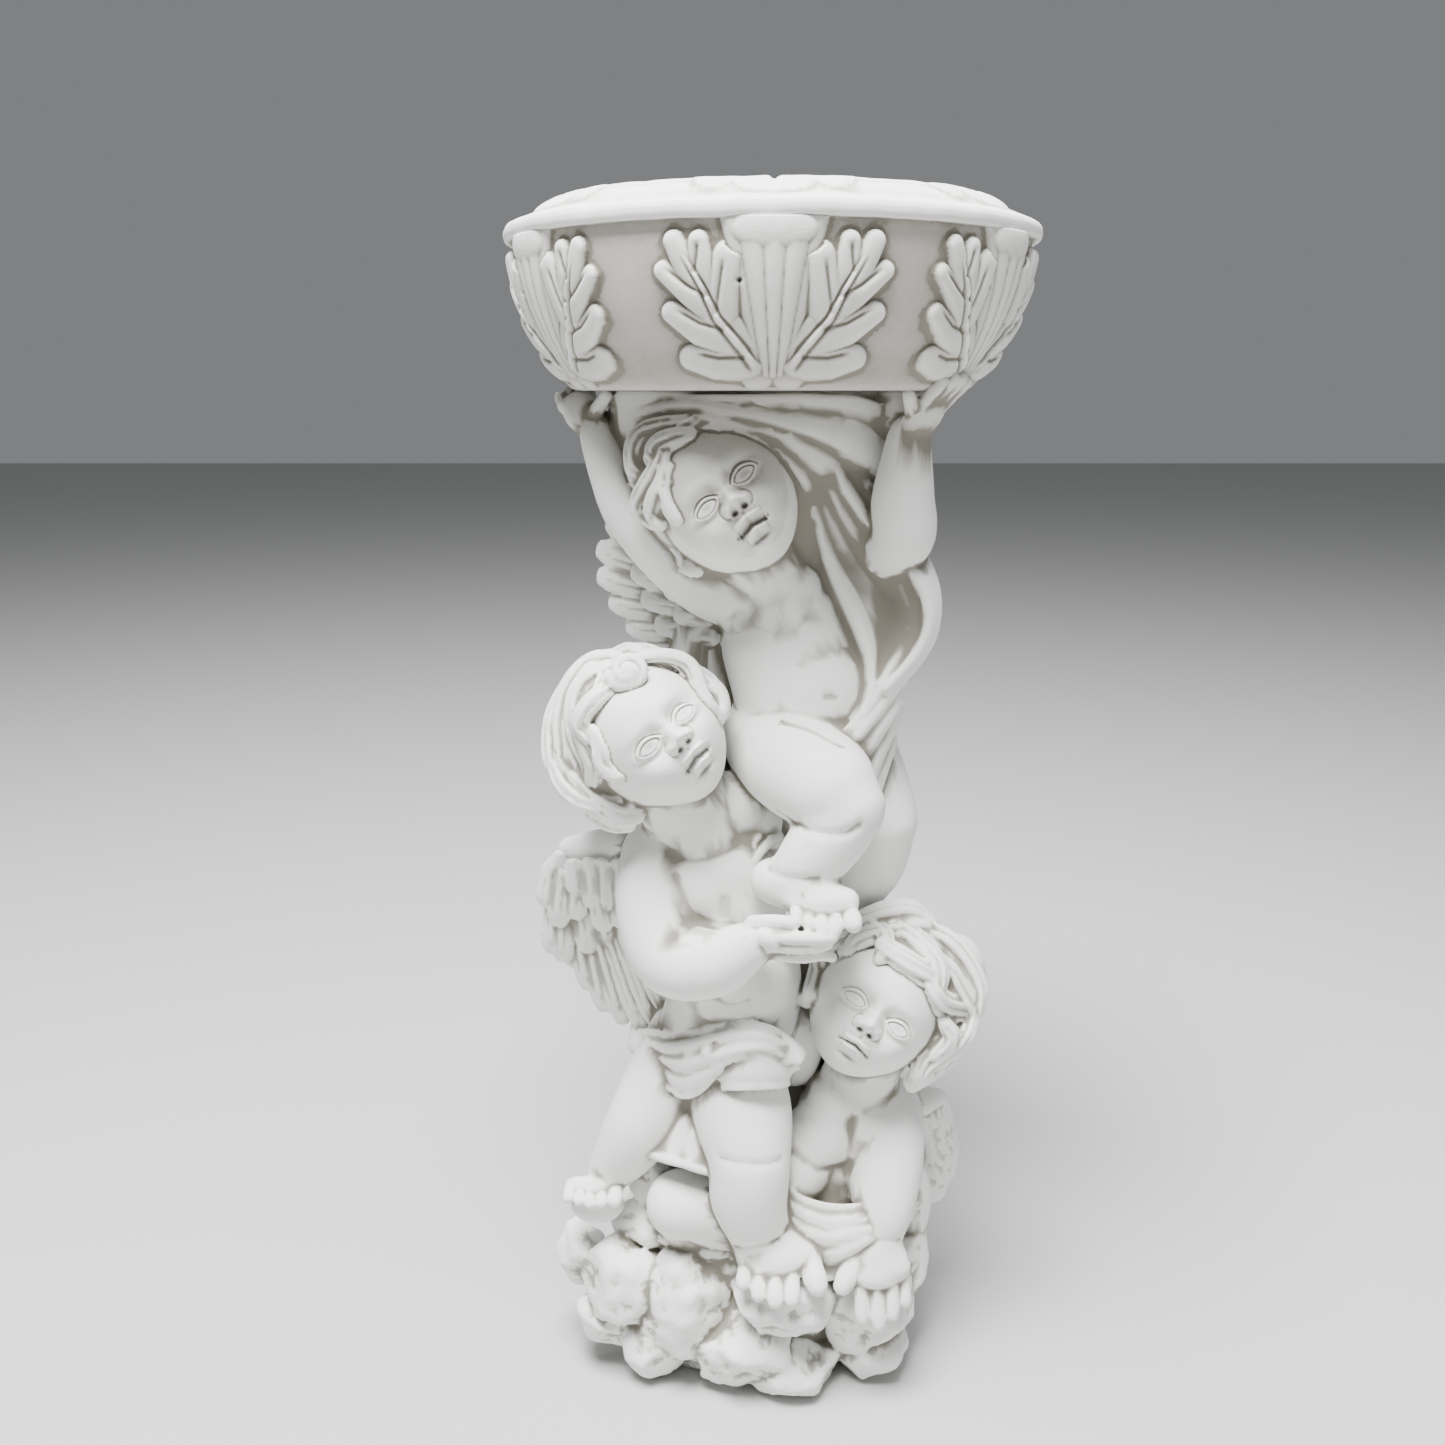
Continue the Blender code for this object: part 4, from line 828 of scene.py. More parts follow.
def top_cloth(bm):
    limb(bm, (60, -30, 786, 24), (96, -50, 786, 22))
    drape(
        bm, 26,
        (1.6, (-99, -46, 760), (-74, -72, 770), (-50, -95, 773), (-34, -97, 769), (-20, -93, 766),
         (-6, -86, 762), (5, -82, 754), (14, -77, 743), (22, -69, 732), (30, -56, 722), (36, -40, 716)),
        (1.8, (-99, -48, 771), (-74, -76, 779), (-50, -92, 781), (-31, -93, 777), (-10, -89, 773),
         (6, -86, 768), (18, -82, 760), (30, -76, 752), (42, -68, 742), (52, -56, 732), (58, -40, 724)),
        (2.0, (-99, -50, 783), (-72, -74, 789), (-50, -87, 789), (-30, -91, 785), (-8, -90, 781),
         (14, -87, 776), (34, -82, 772), (50, -77, 767), (64, -68, 758), (76, -56, 748), (84, -40, 740)),
        (1.0, (-99, -50, 798), (-70, -70, 798), (-48, -83, 798), (-28, -87, 798), (-6, -87, 798),
         (18, -85, 798), (40, -81, 797), (60, -75, 796), (80, -66, 790), (94, -54, 780), (102, -38, 770)),
    )
    drape(
        bm, 15,
        (0.0, (2, -70, 758), (8, -60, 742), (13, -52, 724), (20, -46, 704), (28, -43, 682), (36, -42, 662),
         (46, -44, 640), (56, -46, 620), (63, -54, 602), (64, -62, 588), (60, -68, 574), (52, -72, 560)),
        (1.0, (14, -73, 756), (21, -67, 744), (26, -63, 732), (30, -60, 716), (35, -57, 700),
         (41, -56, 683), (48, -57, 667), (56, -59, 651), (63, -62, 636), (69, -65, 621), (74, -68, 606),
         (75, -73, 591), (73, -79, 577), (67, -83, 565)),
        (0.8, (24, -70, 754), (32, -64, 733), (41, -59, 712), (49, -56, 695), (58, -54, 679),
         (68, -53, 664), (77, -52, 650), (83, -52, 636), (85, -55, 621), (84, -60, 607), (81, -68, 594),
         (77, -76, 582)),
        (1.4, (32, -70, 753), (42, -64, 731), (52, -59, 711), (63, -56, 695), (75, -55, 680),
         (86, -54, 665), (95, -53, 650), (100, -53, 636), (99, -56, 622), (95, -62, 609),
         (88, -70, 598), (81, -77, 588)),
        (3.2, (40, -70, 755), (52, -65, 733), (65, -61, 715), (77, -60, 699), (89, -62, 686),
         (102, -67, 674), (112, -70, 660), (117, -71, 643), (116, -70, 627), (111, -70, 614),
         (103, -73, 603), (93, -77, 593), (83, -81, 583)),
        (1.0, (56, -66, 768), (66, -57, 747), (78, -52, 724), (92, -50, 704), (106, -52, 690),
         (118, -55, 676), (125, -58, 659), (127, -60, 641), (125, -60, 623), (119, -60, 609),
         (111, -63, 598), (101, -68, 588), (90, -74, 578)),
        (0.0, (72, -50, 772), (82, -34, 740), (96, -20, 715), (110, -14, 695), (120, -12, 675),
         (125, -12, 655), (126, -12, 635), (122, -12, 617), (115, -14, 602), (108, -20, 590),
         (102, -30, 578)),
    )
    drape(
        bm, 26,
        (0.6, (104, -56, 606), (95, -67, 597), (84, -75, 587), (74, -80, 577), (64, -84, 566),
         (53, -86, 555), (42, -86, 545)),
        (1.8, (106, -60, 595), (96, -70, 585), (86, -77, 574), (76, -82, 563), (66, -87, 552),
         (56, -90, 542), (45, -91, 532)),
        (1.8, (104, -58, 578), (96, -67, 567), (87, -74, 556), (78, -79, 545), (70, -83, 536),
         (62, -85, 526), (53, -86, 516)),
        (1.8, (101, -52, 558), (94, -61, 547), (87, -68, 536), (81, -73, 524), (75, -76, 513),
         (69, -78, 500)),
        (1.4, (99, -46, 538), (94, -53, 526), (89, -60, 513), (84, -65, 501), (79, -68, 488)),
        (0.6, (97, -38, 516), (93, -44, 504), (89, -50, 492), (85, -53, 480)),
    )


def middle_cloth(bm):
    drape(
        bm, 22,
        (2.2, (-86, -70, 276), (-80, -84, 263), (-69, -97, 260), (-57, -106, 266), (-47, -112, 277),
         (-40, -116, 289), (-31, -118, 300), (-18, -118, 305), (-4, -116, 304), (8, -107, 296)),
        (1.0, (-88, -68, 280), (-78, -87, 273), (-67, -100, 273), (-56, -109, 281), (-45, -115, 291),
         (-34, -119, 301), (-22, -120, 308), (-8, -118, 309), (5, -112, 302), (13, -104, 289)),
        (2.8, (-92, -62, 283), (-80, -82, 284), (-67, -99, 290), (-54, -111, 299), (-42, -117, 306),
         (-28, -120, 312), (-12, -120, 315), (2, -115, 311), (12, -107, 299), (18, -99, 284)),
        (3.4, (-98, -54, 287), (-81, -78, 293), (-66, -94, 302), (-52, -105, 311), (-38, -111, 318),
         (-24, -115, 323), (-8, -116, 323), (6, -111, 315), (17, -103, 301), (23, -95, 283)),
        (1.0, (-104, -44, 294), (-85, -67, 305), (-68, -84, 314), (-52, -96, 321), (-38, -102, 328),
         (-22, -106, 331), (-6, -106, 330), (10, -102, 321), (22, -93, 305), (28, -86, 286)),
    )
    ball(bm, (-32, -94, 296), (34, 20, 20))
    drape(
        bm, 24,
        (1.8, (-38, -110, 274), (-24, -119, 278), (-6, -120, 279), (8, -112, 276), (17, -100, 272)),
        (0.4, (-38, -111, 288), (-22, -119, 293), (-6, -120, 294), (8, -113, 290), (18, -101, 284)),
        (0.4, (-34, -110, 302), (-20, -116, 310), (-6, -117, 311), (8, -110, 305), (18, -100, 296)),
    )
    limb(bm, (-104, -18, 268, 12), (-96, 18, 274, 14), (-60, 46, 280, 14))


def low_cloth(bm):
    drape(
        bm, 30,
        (1.8, (10, -93, 152), (17, -96, 138), (23, -99, 126), (31, -103, 114), (40, -107, 107),
         (50, -110, 107), (61, -113, 115), (72, -114, 127), (84, -113, 138), (100, -106, 144),
         (114, -91, 146), (125, -68, 146)),
        (1.6, (11, -94, 158), (22, -102, 141), (34, -108, 132), (48, -112, 130), (62, -115, 137),
         (80, -114, 147), (100, -106, 151), (114, -91, 153), (125, -68, 153)),
        (1.5, (11, -94, 168), (25, -103, 152), (42, -110, 147), (56, -113, 148), (68, -113, 152),
         (84, -111, 157), (100, -104, 159), (115, -88, 161), (126, -67, 162)),
        (1.8, (11, -93, 179), (26, -101, 164), (44, -106, 159), (58, -108, 160), (70, -108, 162),
         (86, -106, 166), (102, -100, 169), (116, -85, 172), (127, -65, 173)),
        (2.2, (11, -90, 190), (26, -96, 176), (42, -98, 171), (52, -99, 170), (61, -100, 170),
         (77, -102, 173), (93, -101, 178), (110, -88, 183), (126, -62, 186)),
    )
    roll(bm, [(118, -62, 172, 14), (124, -54, 146, 14), (120, -50, 116, 14), (116, -48, 88, 13)], sides=24)
    drape(
        bm, 26,
        (0.6, (-68, -80, 248), (-76, -84, 235), (-86, -84, 221), (-98, -78, 207)),
        (0.8, (-61, -86, 248), (-67, -92, 235), (-74, -96, 221), (-80, -98, 209)),
        (0.8, (-54, -89, 248), (-57, -97, 234), (-58, -103, 220), (-60, -105, 208)),
        (0.6, (-46, -88, 248), (-46, -96, 232), (-43, -101, 216), (-38, -102, 200)),
    )
    roll(bm, [(-98, -80, 204, 3.6), (-81, -98, 208, 3.8), (-66, -105, 208, 3.8), (-54, -106, 204, 3.8),
              (-38, -104, 199, 3.6)], sides=16)


def back_cloth(bm):
    roll(bm, [(-20, 0, 60, 92), (-4, 12, 170, 84), (2, 18, 280, 80), (-4, 20, 400, 66), (6, 18, 500, 62),
              (10, 14, 600, 64), (0, -2, 690, 84), (-6, -6, 755, 110), (-6, -6, 795, 118)],
         flat=0.64, sides=64)
    roll(bm, [(-40, 0, 470, 30), (-48, 4, 560, 32), (-44, 2, 640, 30)], sides=32)
    falls = ((798, 1.45, 0, 66), (750, 1.3, 2, 62), (690, 1.1, 5, 54), (650, 1.0, 8, 50), (520, 0.8, 8, 56),
             (380, 1.0, -2, 62), (240, 1.35, 0, 66))
    for lean in range(-51, 52, 17):
        fold = [(x + lean * spread, y - abs(lean) * 0.3, z, 10) for z, spread, x, y in falls]
        roll(bm, fold, sides=20)


cloths = fused([clay("cloths", top_cloth, middle_cloth, low_cloth, back_cloth)], voxel=1.7, rubs=5)


# The pedestal as one casting
# All the clay is one model, moulded and cast hollow in fibre cement. Its top is flat where the
# basin stands, and its foot is cut level. The faces are worked over once more at the end.
CAST_VOXEL = 1.3                       # how fine the casting takes the clay, in pose millimetres
CAST_TRIANGLES = 166000                # before the faces are cut finer
ROCK_TOP, ROCK_BACK = 200, 20          # the rocks show under and in front of these, in pose mm
ROCK_GRAIN = ((7.0, 0.4), (3.0, 0.5))  # widths and heights of the rocks' last roughness
FACE_HALF, CHIN, BROW = 29, -40, 3     # from a head's middle: what is cut finer, in pose mm
FACE_EDGE = 1.15                       # a face's longest edge that isn't cut again, in pose mm
BASIN_GAP = 0.0003                     # between the casting and the basin on it, in metres

casting = fused([rock, low_flesh, low_fingers, middle_flesh, middle_fingers, top_flesh, top_fingers,
                 bare_heads, hair, feathers, cloths], voxel=CAST_VOXEL, rubs=2)
casting.name = casting.data.name = "cherub_casting"

points, normals = points_of(casting.data), points_of(casting.data, "normal")
for i in np.flatnonzero((points[:, 2] < ROCK_TOP) & (points[:, 1] < ROCK_BACK)):
    spot = Vector(points[i])
    if rock_skin.find_nearest(spot, 1.2)[0] is not None:
        points[i] += normals[i] * sum(high * noise.noise(spot / wide) for wide, high in ROCK_GRAIN)
on_face = np.zeros(len(points))
for face in FACES:
    points, near = face_set(points, *face)
    on_face = np.maximum(on_face, near)
put_points(casting.data, points)

free = casting.vertex_groups.new(name="free")
free.add(np.flatnonzero(on_face <= 0.5).tolist(), 1.0, "REPLACE")
worked(casting, "DECIMATE", vertex_group="free", ratio=CAST_TRIANGLES / (2 * len(casting.data.polygons)))
casting.vertex_groups.clear()

# The faces are cut finer about the eyes, nose and mouth, and set to the carved map once more.
fine = bmesh.new()
fine.from_mesh(casting.data)
for place, *_ in FACES:
    back = place.inverted()
    edges = []
    for edge in fine.edges:
        spot = back @ (0.5 * (edge.verts[0].co + edge.verts[1].co))
        on_front = spot.y < -20 and abs(spot.x) < FACE_HALF and CHIN < spot.z < BROW
        if on_front and edge.calc_length() > FACE_EDGE:
            edges.append(edge)
    bmesh.ops.subdivide_edges(fine, edges=edges, cuts=1, use_grid_fill=True)
bmesh.ops.triangulate(fine, faces=[f for f in fine.faces if len(f.verts) > 3])
fine.to_mesh(casting.data)
fine.free()
points = points_of(casting.data)
for face in FACES:
    points, _ = face_set(points, *face)
put_points(casting.data, points)


def cut_away(tool):
    """Takes a closed form out of the casting."""
    worked(casting, "BOOLEAN", operation="DIFFERENCE", object=tool)
    bpy.data.objects.remove(tool)


def turned(outline, spins):
    """A closed solid spun from an outline of radius and height that starts and ends on the axis."""
    bm = bmesh.new()
    rings = []
    for radius, height in outline:
        if radius == 0:
            rings.append([bm.verts.new((0, 0, height))] * spins)
        else:
            turn = np.arange(spins) * math.tau / spins
            rings.append([bm.verts.new((radius * math.cos(a), radius * math.sin(a), height)) for a in turn])
    skinned(bm, rings)
    return solid_of(bm, "turned")


casting.data.transform(Matrix.Scale(UNIT, 4))


# The seat and the foot
# The top cherub's hands and cloth close up to the basin's wall, a hair's breadth off it, and the
# whole foot is sawn level so that it stands by its own weight.
SEAT_RADIUS = 0.148                    # the basin's flat underside, in metres
BELLY_RADIUS = 0.1905                  # its bare wall under the lip
LIP_UNDERSIDE = 0.105                  # from the seat up to the lip


def wall_radius(height):
    """Radius of the basin's bare wall at a height over its seat."""
    share = np.clip(height / LIP_UNDERSIDE, 0, 1)
    return SEAT_RADIUS + (BELLY_RADIUS - SEAT_RADIUS) * np.sin(np.pi / 2 * share**0.8)


steps = np.linspace(0, LIP_UNDERSIDE, 13)
basin_space = [(0, SEAT - BASIN_GAP)]
basin_space += [(wall_radius(h) + BASIN_GAP, SEAT + h - BASIN_GAP) for h in steps]
basin_space += [(2 * BELLY_RADIUS, SEAT + LIP_UNDERSIDE), (2 * BELLY_RADIUS, 2 * SEAT), (0, 2 * SEAT)]
cut_away(turned(basin_space, 144))
bpy.ops.object.select_all(action="DESELECT")
bpy.ops.mesh.primitive_cube_add(size=1, location=(0, 0, -0.5), scale=(2, 2, 1))
bpy.ops.object.transform_apply(location=True, scale=True)
cut_away(bpy.context.object)


# The wash and the painted shade
# White cement, dusted with a grey-brown wash that is wiped off the high places. How deep a place
# lies under its surroundings, near and far, says how much of the wash stays in it, and broad hollows
# are darkened with painted shade as well.
def hollows(mesh, rounds):
    """How far each point lies under the average of its surroundings, in metres, for each of rounds."""
    points, normals = points_of(mesh), points_of(mesh, "normal")
    edges = np.empty(len(mesh.edges) * 2, np.int32)
    mesh.edges.foreach_get("vertices", edges)
    a, b = edges.reshape(-1, 2).T
    both, other = np.r_[a, b], np.r_[b, a]
    count = np.maximum(np.bincount(both, minlength=len(points)), 1)
    made, done, mean = [], 0, points.copy()
    for wanted in rounds:
        while done < wanted:
            total = [np.bincount(both, mean[other, i], len(points)) for i in range(3)]
            mean = np.stack(total, 1) / count[:, None]
            done += 1
        made.append(((mean - points) * normals).sum(1))
    return made


# For the fine, near and wide hollows: how much wash they hold, how many times the fine ones' depth
# fills them, and how much less than none lies on as high a place. What the wide hollows hold is partly
# painted shade, the shade that falls in broad hollows.
WASH_AND_SHADE_HELD = ((0.60, 1, -0.2), (0.40, 7, -0.4), (0.22, 22, -0.6))


def give_wash_and_shade(obj, near, painted_shade, rounds):
    """Stores how much wash and painted shade lie at each point: 0 for none, and 1 for where they hide the
    white.
    """
    depths = zip(WASH_AND_SHADE_HELD, hollows(obj.data, rounds))
    amount = sum(held * np.clip(depth / (times * near), least, 1) for (held, times, least), depth in depths)
    wash_and_shade = obj.data.attributes.new("wash_and_shade", "FLOAT", "POINT")
    wash_and_shade.data.foreach_set("value", np.clip(amount + painted_shade, -0.6, 1.6).astype(np.float32))


# Painted shade: the places under the basin are painted darker the higher they lie, for the basin's shadow
# on them.
height = points_of(casting.data)[:, 2] / SEAT
give_wash_and_shade(casting, near=0.0003, painted_shade=0.72 * np.clip((height - 0.81) / 0.16, 0, 1) ** 1.2, rounds=(2, 8, 30))


# The white, and the grey-brown colours of the wash, which paint the shade as well.
WHITE = (0.79, 0.795, 0.775, 1)
THIN_WASH_AND_SHADE = (0.52, 0.512, 0.47, 1)
THICK_WASH_AND_SHADE = (0.22, 0.205, 0.17, 1)


def cast_stone(name, rough_height):
    """Whitewashed cement: off-white, greyer in the hollows with its wash and with painted shade, matt, with
    a fine sandy grain.
    """
    made = bpy.data.materials.new(name)
    made.use_nodes = True
    nodes, links = made.node_tree.nodes, made.node_tree.links
    shader = nodes["Principled BSDF"]
    shader.inputs["Roughness"].default_value = 0.78
    shader.inputs["Specular IOR Level"].default_value = 0.25
    place = nodes.new("ShaderNodeTexCoord")
    wash_and_shade = nodes.new("ShaderNodeAttribute")
    wash_and_shade.attribute_name = "wash_and_shade"

    def cloud(scale, detail):
        made = nodes.new("ShaderNodeTexNoise")
        made.inputs["Scale"].default_value = scale
        made.inputs["Detail"].default_value = detail
        links.new(place.outputs["Object"], made.inputs["Vector"])
        return made

    def sum_of(kind, first, second):
        made = nodes.new("ShaderNodeMath")
        made.operation = kind
        for socket, value in zip(made.inputs, (first, second)):
            if isinstance(value, float):
                socket.default_value = value
            else:
                links.new(value, socket)
        return made.outputs[0]

    patches, grain = cloud(22.0, 4.0), cloud(900.0, 3.0)
    patchy = sum_of("MULTIPLY", sum_of("SUBTRACT", patches.outputs["Fac"], 0.5), 0.30)
    amount = sum_of("ADD", wash_and_shade.outputs["Fac"], patchy)
    ramp = nodes.new("ShaderNodeValToRGB")
    ramp.color_ramp.elements.new(0.5)
    for stop, colour in zip(ramp.color_ramp.elements, (WHITE, THIN_WASH_AND_SHADE, THICK_WASH_AND_SHADE)):
        stop.color = colour
    links.new(amount, ramp.inputs["Fac"])
    links.new(ramp.outputs["Color"], shader.inputs["Base Color"])
    bump = nodes.new("ShaderNodeBump")
    bump.inputs["Strength"].default_value = 1.0
    bump.inputs["Distance"].default_value = rough_height
    links.new(grain.outputs["Fac"], bump.inputs["Height"])
    links.new(bump.outputs["Normal"], shader.inputs["Normal"])
    return made


def finish_piece(obj, node, material):
    """Smooth shading, its finish, and its place in the frame."""
    obj.data.materials.clear()
    obj.data.materials.append(material)
    obj.data.shade_smooth()
    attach(obj, "root")
    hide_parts(node)


finish_piece(casting, "cherub_pedestal", cast_stone("pedestal_stone", 0.0003))


# The basin
# A round bowl cast by itself and set down on the seat. Six leaf clusters stand on its wall: two
# lobed leaves lean out from a fluted middle leaf whose tip rolls over under the lip. Leaves that
# line the inside curl their scalloped tips over the crest.
BASIN_HEIGHT = 0.132                   # seat to crest, in metres as all lengths here
BASIN_RADIUS = 0.198                   # outer edge of the lip
CREST_RADIUS = 0.166
BASIN_WALL = 0.013
LEAF_RELIEF = 0.0060                   # how far the leaves stand off the wall
ROLL_RELIEF = 0.0073                   # how far the rolled tips do
SCALLOP = 0.0022                       # how far the inner leaves' tips lie over the lip
CLUSTERS = (-151.5, -91.2, -35.0, 25.0, 87.0, 148.5)    # their bearings from +X
PINHOLE = (-0.205, 0.640)              # left in the casting on each cluster, in wall heights
SPINS = 1200
BASIN_TRIANGLES = 180000


def beside(u, v, line):
    """Distance from a broken line, share along it, and the signed distance to its left."""
    best = np.full(u.shape, 9.0)
    share, side = np.zeros(u.shape), np.zeros(u.shape)
    for i, ((u0, v0), (u1, v1)) in enumerate(zip(line, line[1:])):
        run, rise = u1 - u0, v1 - v0
        t = np.clip(((u - u0) * run + (v - v0) * rise) / (run**2 + rise**2), 0, 1)
        off_u, off_v = u - u0 - t * run, v - v0 - t * rise
        apart = np.hypot(off_u, off_v)
        nearer = apart < best
        best = np.where(nearer, apart, best)
        share = np.where(nearer, (i + t) / (len(line) - 1), share)
        side = np.where(nearer, (run * off_v - rise * off_u) / math.hypot(run, rise), side)
    return best, share, side


def lobe(u, v, line, start, end, lean):
    """Height of a leaf's lobe: dished, rimmed, and standing out on the side it leans to."""
    apart, share, side = beside(u, v, line)
    radius = start + (end - start) * share
    t = np.clip(apart / radius, 0, 1)
    dish = 0.84 - 0.24 * t**2 + lean * 0.26 * np.clip(side / radius, -1, 1) * np.clip(share * 1.6, 0, 1)
    return (dish + 0.16 * share) * np.clip(1 - t**6, 0, 1) ** 0.5


def line_groove(u, v, line, width):
    """1 on a line and 0 away from it, fading out at its far end."""
    apart, share, _ = beside(u, v, line)
    return np.exp(-((apart / width) ** 2)) * np.clip((1 - share) * 5, 0, 1)


LEAF_MIDRIB = ((-0.095, 0.13), (-0.196, 0.257), (-0.335, 0.417), (-0.427, 0.60), (-0.543, 0.79))
LEAF_LOBES = (
    (((-0.49, 0.64), (-0.602, 0.862)), 0.088, 0.068, 0.25),
    (((-0.43, 0.62), (-0.448, 0.858)), 0.100, 0.066, 0.0),
    (((-0.33, 0.46), (-0.272, 0.775)), 0.125, 0.092, -0.25),
    (((-0.38, 0.49), (-0.50, 0.565), (-0.672, 0.700)), 0.100, 0.060, 0.9),
    (((-0.27, 0.30), (-0.44, 0.345), (-0.622, 0.462)), 0.110, 0.068, 0.9),
    (((-0.14, 0.15), (-0.34, 0.150), (-0.505, 0.200)), 0.100, 0.082, 0.7),
)
LEAF_VEINS = (
    ((-0.346, 0.45), (-0.318, 0.62), (-0.296, 0.76)),
    ((-0.47, 0.69), (-0.455, 0.78), (-0.450, 0.86)),
    ((-0.40, 0.55), (-0.52, 0.615), (-0.655, 0.715)),
    ((-0.30, 0.36), (-0.44, 0.395), (-0.595, 0.480)),
    ((-0.18, 0.20), (-0.33, 0.195), (-0.47, 0.225)),
)


def cluster(u, v):
    """Relief of a leaf cluster, as a share of LEAF_RELIEF.

    u is across from the cluster's middle and v up from the seat, as shares of the wall's height.
    """
    side = -np.abs(u)
    leaf = np.max([lobe(side, v, *form) for form in LEAF_LOBES], axis=0)
    rib, along, _ = beside(side, v, LEAF_MIDRIB)
    body = 0.62 * np.sqrt(np.clip(1 - (rib / (0.13 - 0.05 * along)) ** 4, 0, 1))
    made = np.maximum(leaf, body)
    on_leaf = np.clip(made * 3, 0, 1) * np.clip(12 * along, 0, 1) * np.clip(4 - 4 * along, 0, 1)
    slim = 0.020 * (1 - 0.55 * along)
    made += on_leaf * (0.30 * np.exp(-((rib / slim) ** 2))
                       - 0.42 * np.exp(-(((rib - 1.9 * slim) / (0.8 * slim)) ** 2)))
    for vein in LEAF_VEINS:
        made -= np.clip(made * 3, 0, 1) * 0.34 * line_groove(side, v, vein, 0.014)
    fan = np.arctan2(u, v + 0.30)
    shaft = np.abs(u) / (0.11 + 0.22 * np.clip(v, 0, 1) ** 1.2)
    shell = 0.50 + 0.40 * v + 0.26 * np.abs(np.cos(math.pi * fan / 0.115)) ** 0.6
    shell *= (1 - 0.50 * np.clip(shaft, 0, 1) ** 2) * np.clip(1 - shaft**8, 0, 1) ** 0.5
    shell *= np.clip((v - 0.04) / 0.05, 0, 1)
    cap = np.hypot(u / 0.28, (v - 0.93) / 0.145)
    shell = np.maximum(shell, (0.95 + 0.30 * np.clip(1.1 - cap, 0, 1)) * np.clip(1 - cap**6, 0, 1) ** 0.5)
    leaf_over = np.clip((0.84 - v) / 0.08, 0, 1)
    return np.where(shell > made * leaf_over, shell, made) * (np.maximum(shell, made) > 0)


def basin_rows():
    """The basin's outline as rows of radius, height and what is carved there, from the floor round."""
    floor, mouth = SEAT_RADIUS - 2 * BASIN_WALL, CREST_RADIUS - BASIN_WALL
    crest = BASIN_HEIGHT - SCALLOP - 0.0006
    rows = [(radius, BASIN_WALL, "") for radius in np.linspace(0, floor, 8)[:-1]]
    for share in np.linspace(0, 1, 26):
        rows.append((floor + (mouth - floor) * math.sin(math.pi / 2 * share),
                     BASIN_WALL + (crest - 1.5 * BASIN_WALL) * share**1.3, "inside"))
    band = BASIN_RADIUS - CREST_RADIUS
    edge = 0.3 * (BASIN_HEIGHT - LIP_UNDERSIDE)
    lip = [
        (mouth, crest - 0.5 * BASIN_WALL),
        (CREST_RADIUS - 0.75 * BASIN_WALL, crest - 0.18 * BASIN_WALL),
        (CREST_RADIUS - 0.4 * BASIN_WALL, crest - 0.03 * BASIN_WALL),
        (CREST_RADIUS, crest),
        (CREST_RADIUS + 0.45 * band, crest - edge),
        (BASIN_RADIUS - 0.12 * band, LIP_UNDERSIDE + 1.35 * edge),
        (BASIN_RADIUS - 0.02 * band, LIP_UNDERSIDE + 0.95 * edge),
        (BASIN_RADIUS, LIP_UNDERSIDE + 0.6 * edge),
        (BASIN_RADIUS - 0.01 * band, LIP_UNDERSIDE + 0.25 * edge),
        (BASIN_RADIUS - 0.06 * band, LIP_UNDERSIDE),
        (wall_radius(LIP_UNDERSIDE), LIP_UNDERSIDE - 0.0005),
    ]
    rows += [(radius, height, "lip") for radius, height in curve_through(lip, 5)[1:-1]]
    rows += [(wall_radius(h), h, "wall") for h in np.linspace(LIP_UNDERSIDE - 0.0008, 0.0015, 112)]
    rows += [(SEAT_RADIUS - 0.0008, 0.0003, ""), (SEAT_RADIUS - 0.003, 0.0, ""), (SEAT_RADIUS / 2, 0.0, "")]
    return rows + [(0.0, 0.0, "")]


def carved_basin():
    angles = np.arange(SPINS) * math.tau / SPINS
    aside = (angles[:, None] - np.radians(CLUSTERS)[None] + math.pi) % math.tau - math.pi
    away = aside[np.arange(SPINS), np.abs(aside).argmin(1)]
    rows = basin_rows()
    bm = bmesh.new()
    rings = []
    for radius, height, carving in rows:
        out, up = np.full(SPINS, float(radius)), np.full(SPINS, float(height))
        if carving == "wall":
            u, v = away * radius / LIP_UNDERSIDE, np.full(SPINS, height / LIP_UNDERSIDE)
            out += LEAF_RELIEF * np.clip(cluster(u, v), 0, ROLL_RELIEF / LEAF_RELIEF)
            pit = np.hypot(u - PINHOLE[0], v - PINHOLE[1])
            out -= 0.005 * np.exp(-((pit / 0.015) ** 2))
        if carving == "lip":
            down = (radius - CREST_RADIUS) / (BASIN_RADIUS - CREST_RADIUS)
            dents = np.zeros(SPINS)
            for deep, around, inward in ((1.0, 3, 40), (0.6, 11, 60)):
                spots = [(around * math.cos(a), around * math.sin(a), inward * radius) for a in angles]
                dents += np.array([deep * noise.noise(spot) for spot in spots])
            out -= 0.0010 * np.clip(0.7 + dents, 0, 2) * np.clip(down, 0, 1)
            up -= 0.0009 * np.clip(0.6 + dents, 0, 2)
            arc = np.abs(away * radius)
            tip = np.maximum(0.58 * np.sqrt(np.clip(1 - (arc / 0.027) ** 2, 0, 1)),
                             0.34 * np.sqrt(np.clip(1 - ((arc - 0.039) / 0.0125) ** 2, 0, 1)))
            up += SCALLOP * np.clip((tip - down) / 0.10, 0, 1) * (down < 0.8)
            up -= 0.0035 * np.exp(-((arc / 0.0024) ** 2)) * np.clip(1 - np.abs(down) / 0.22, 0, 1)
        if radius:
            rings.append([bm.verts.new((o * math.cos(a), o * math.sin(a), SEAT + h))
                          for o, a, h in zip(out, angles, up)])
        else:
            rings.append([bm.verts.new((0, 0, SEAT + height))] * SPINS)
    skinned(bm, rings)
    return solid_of(bm, "leaf_basin")


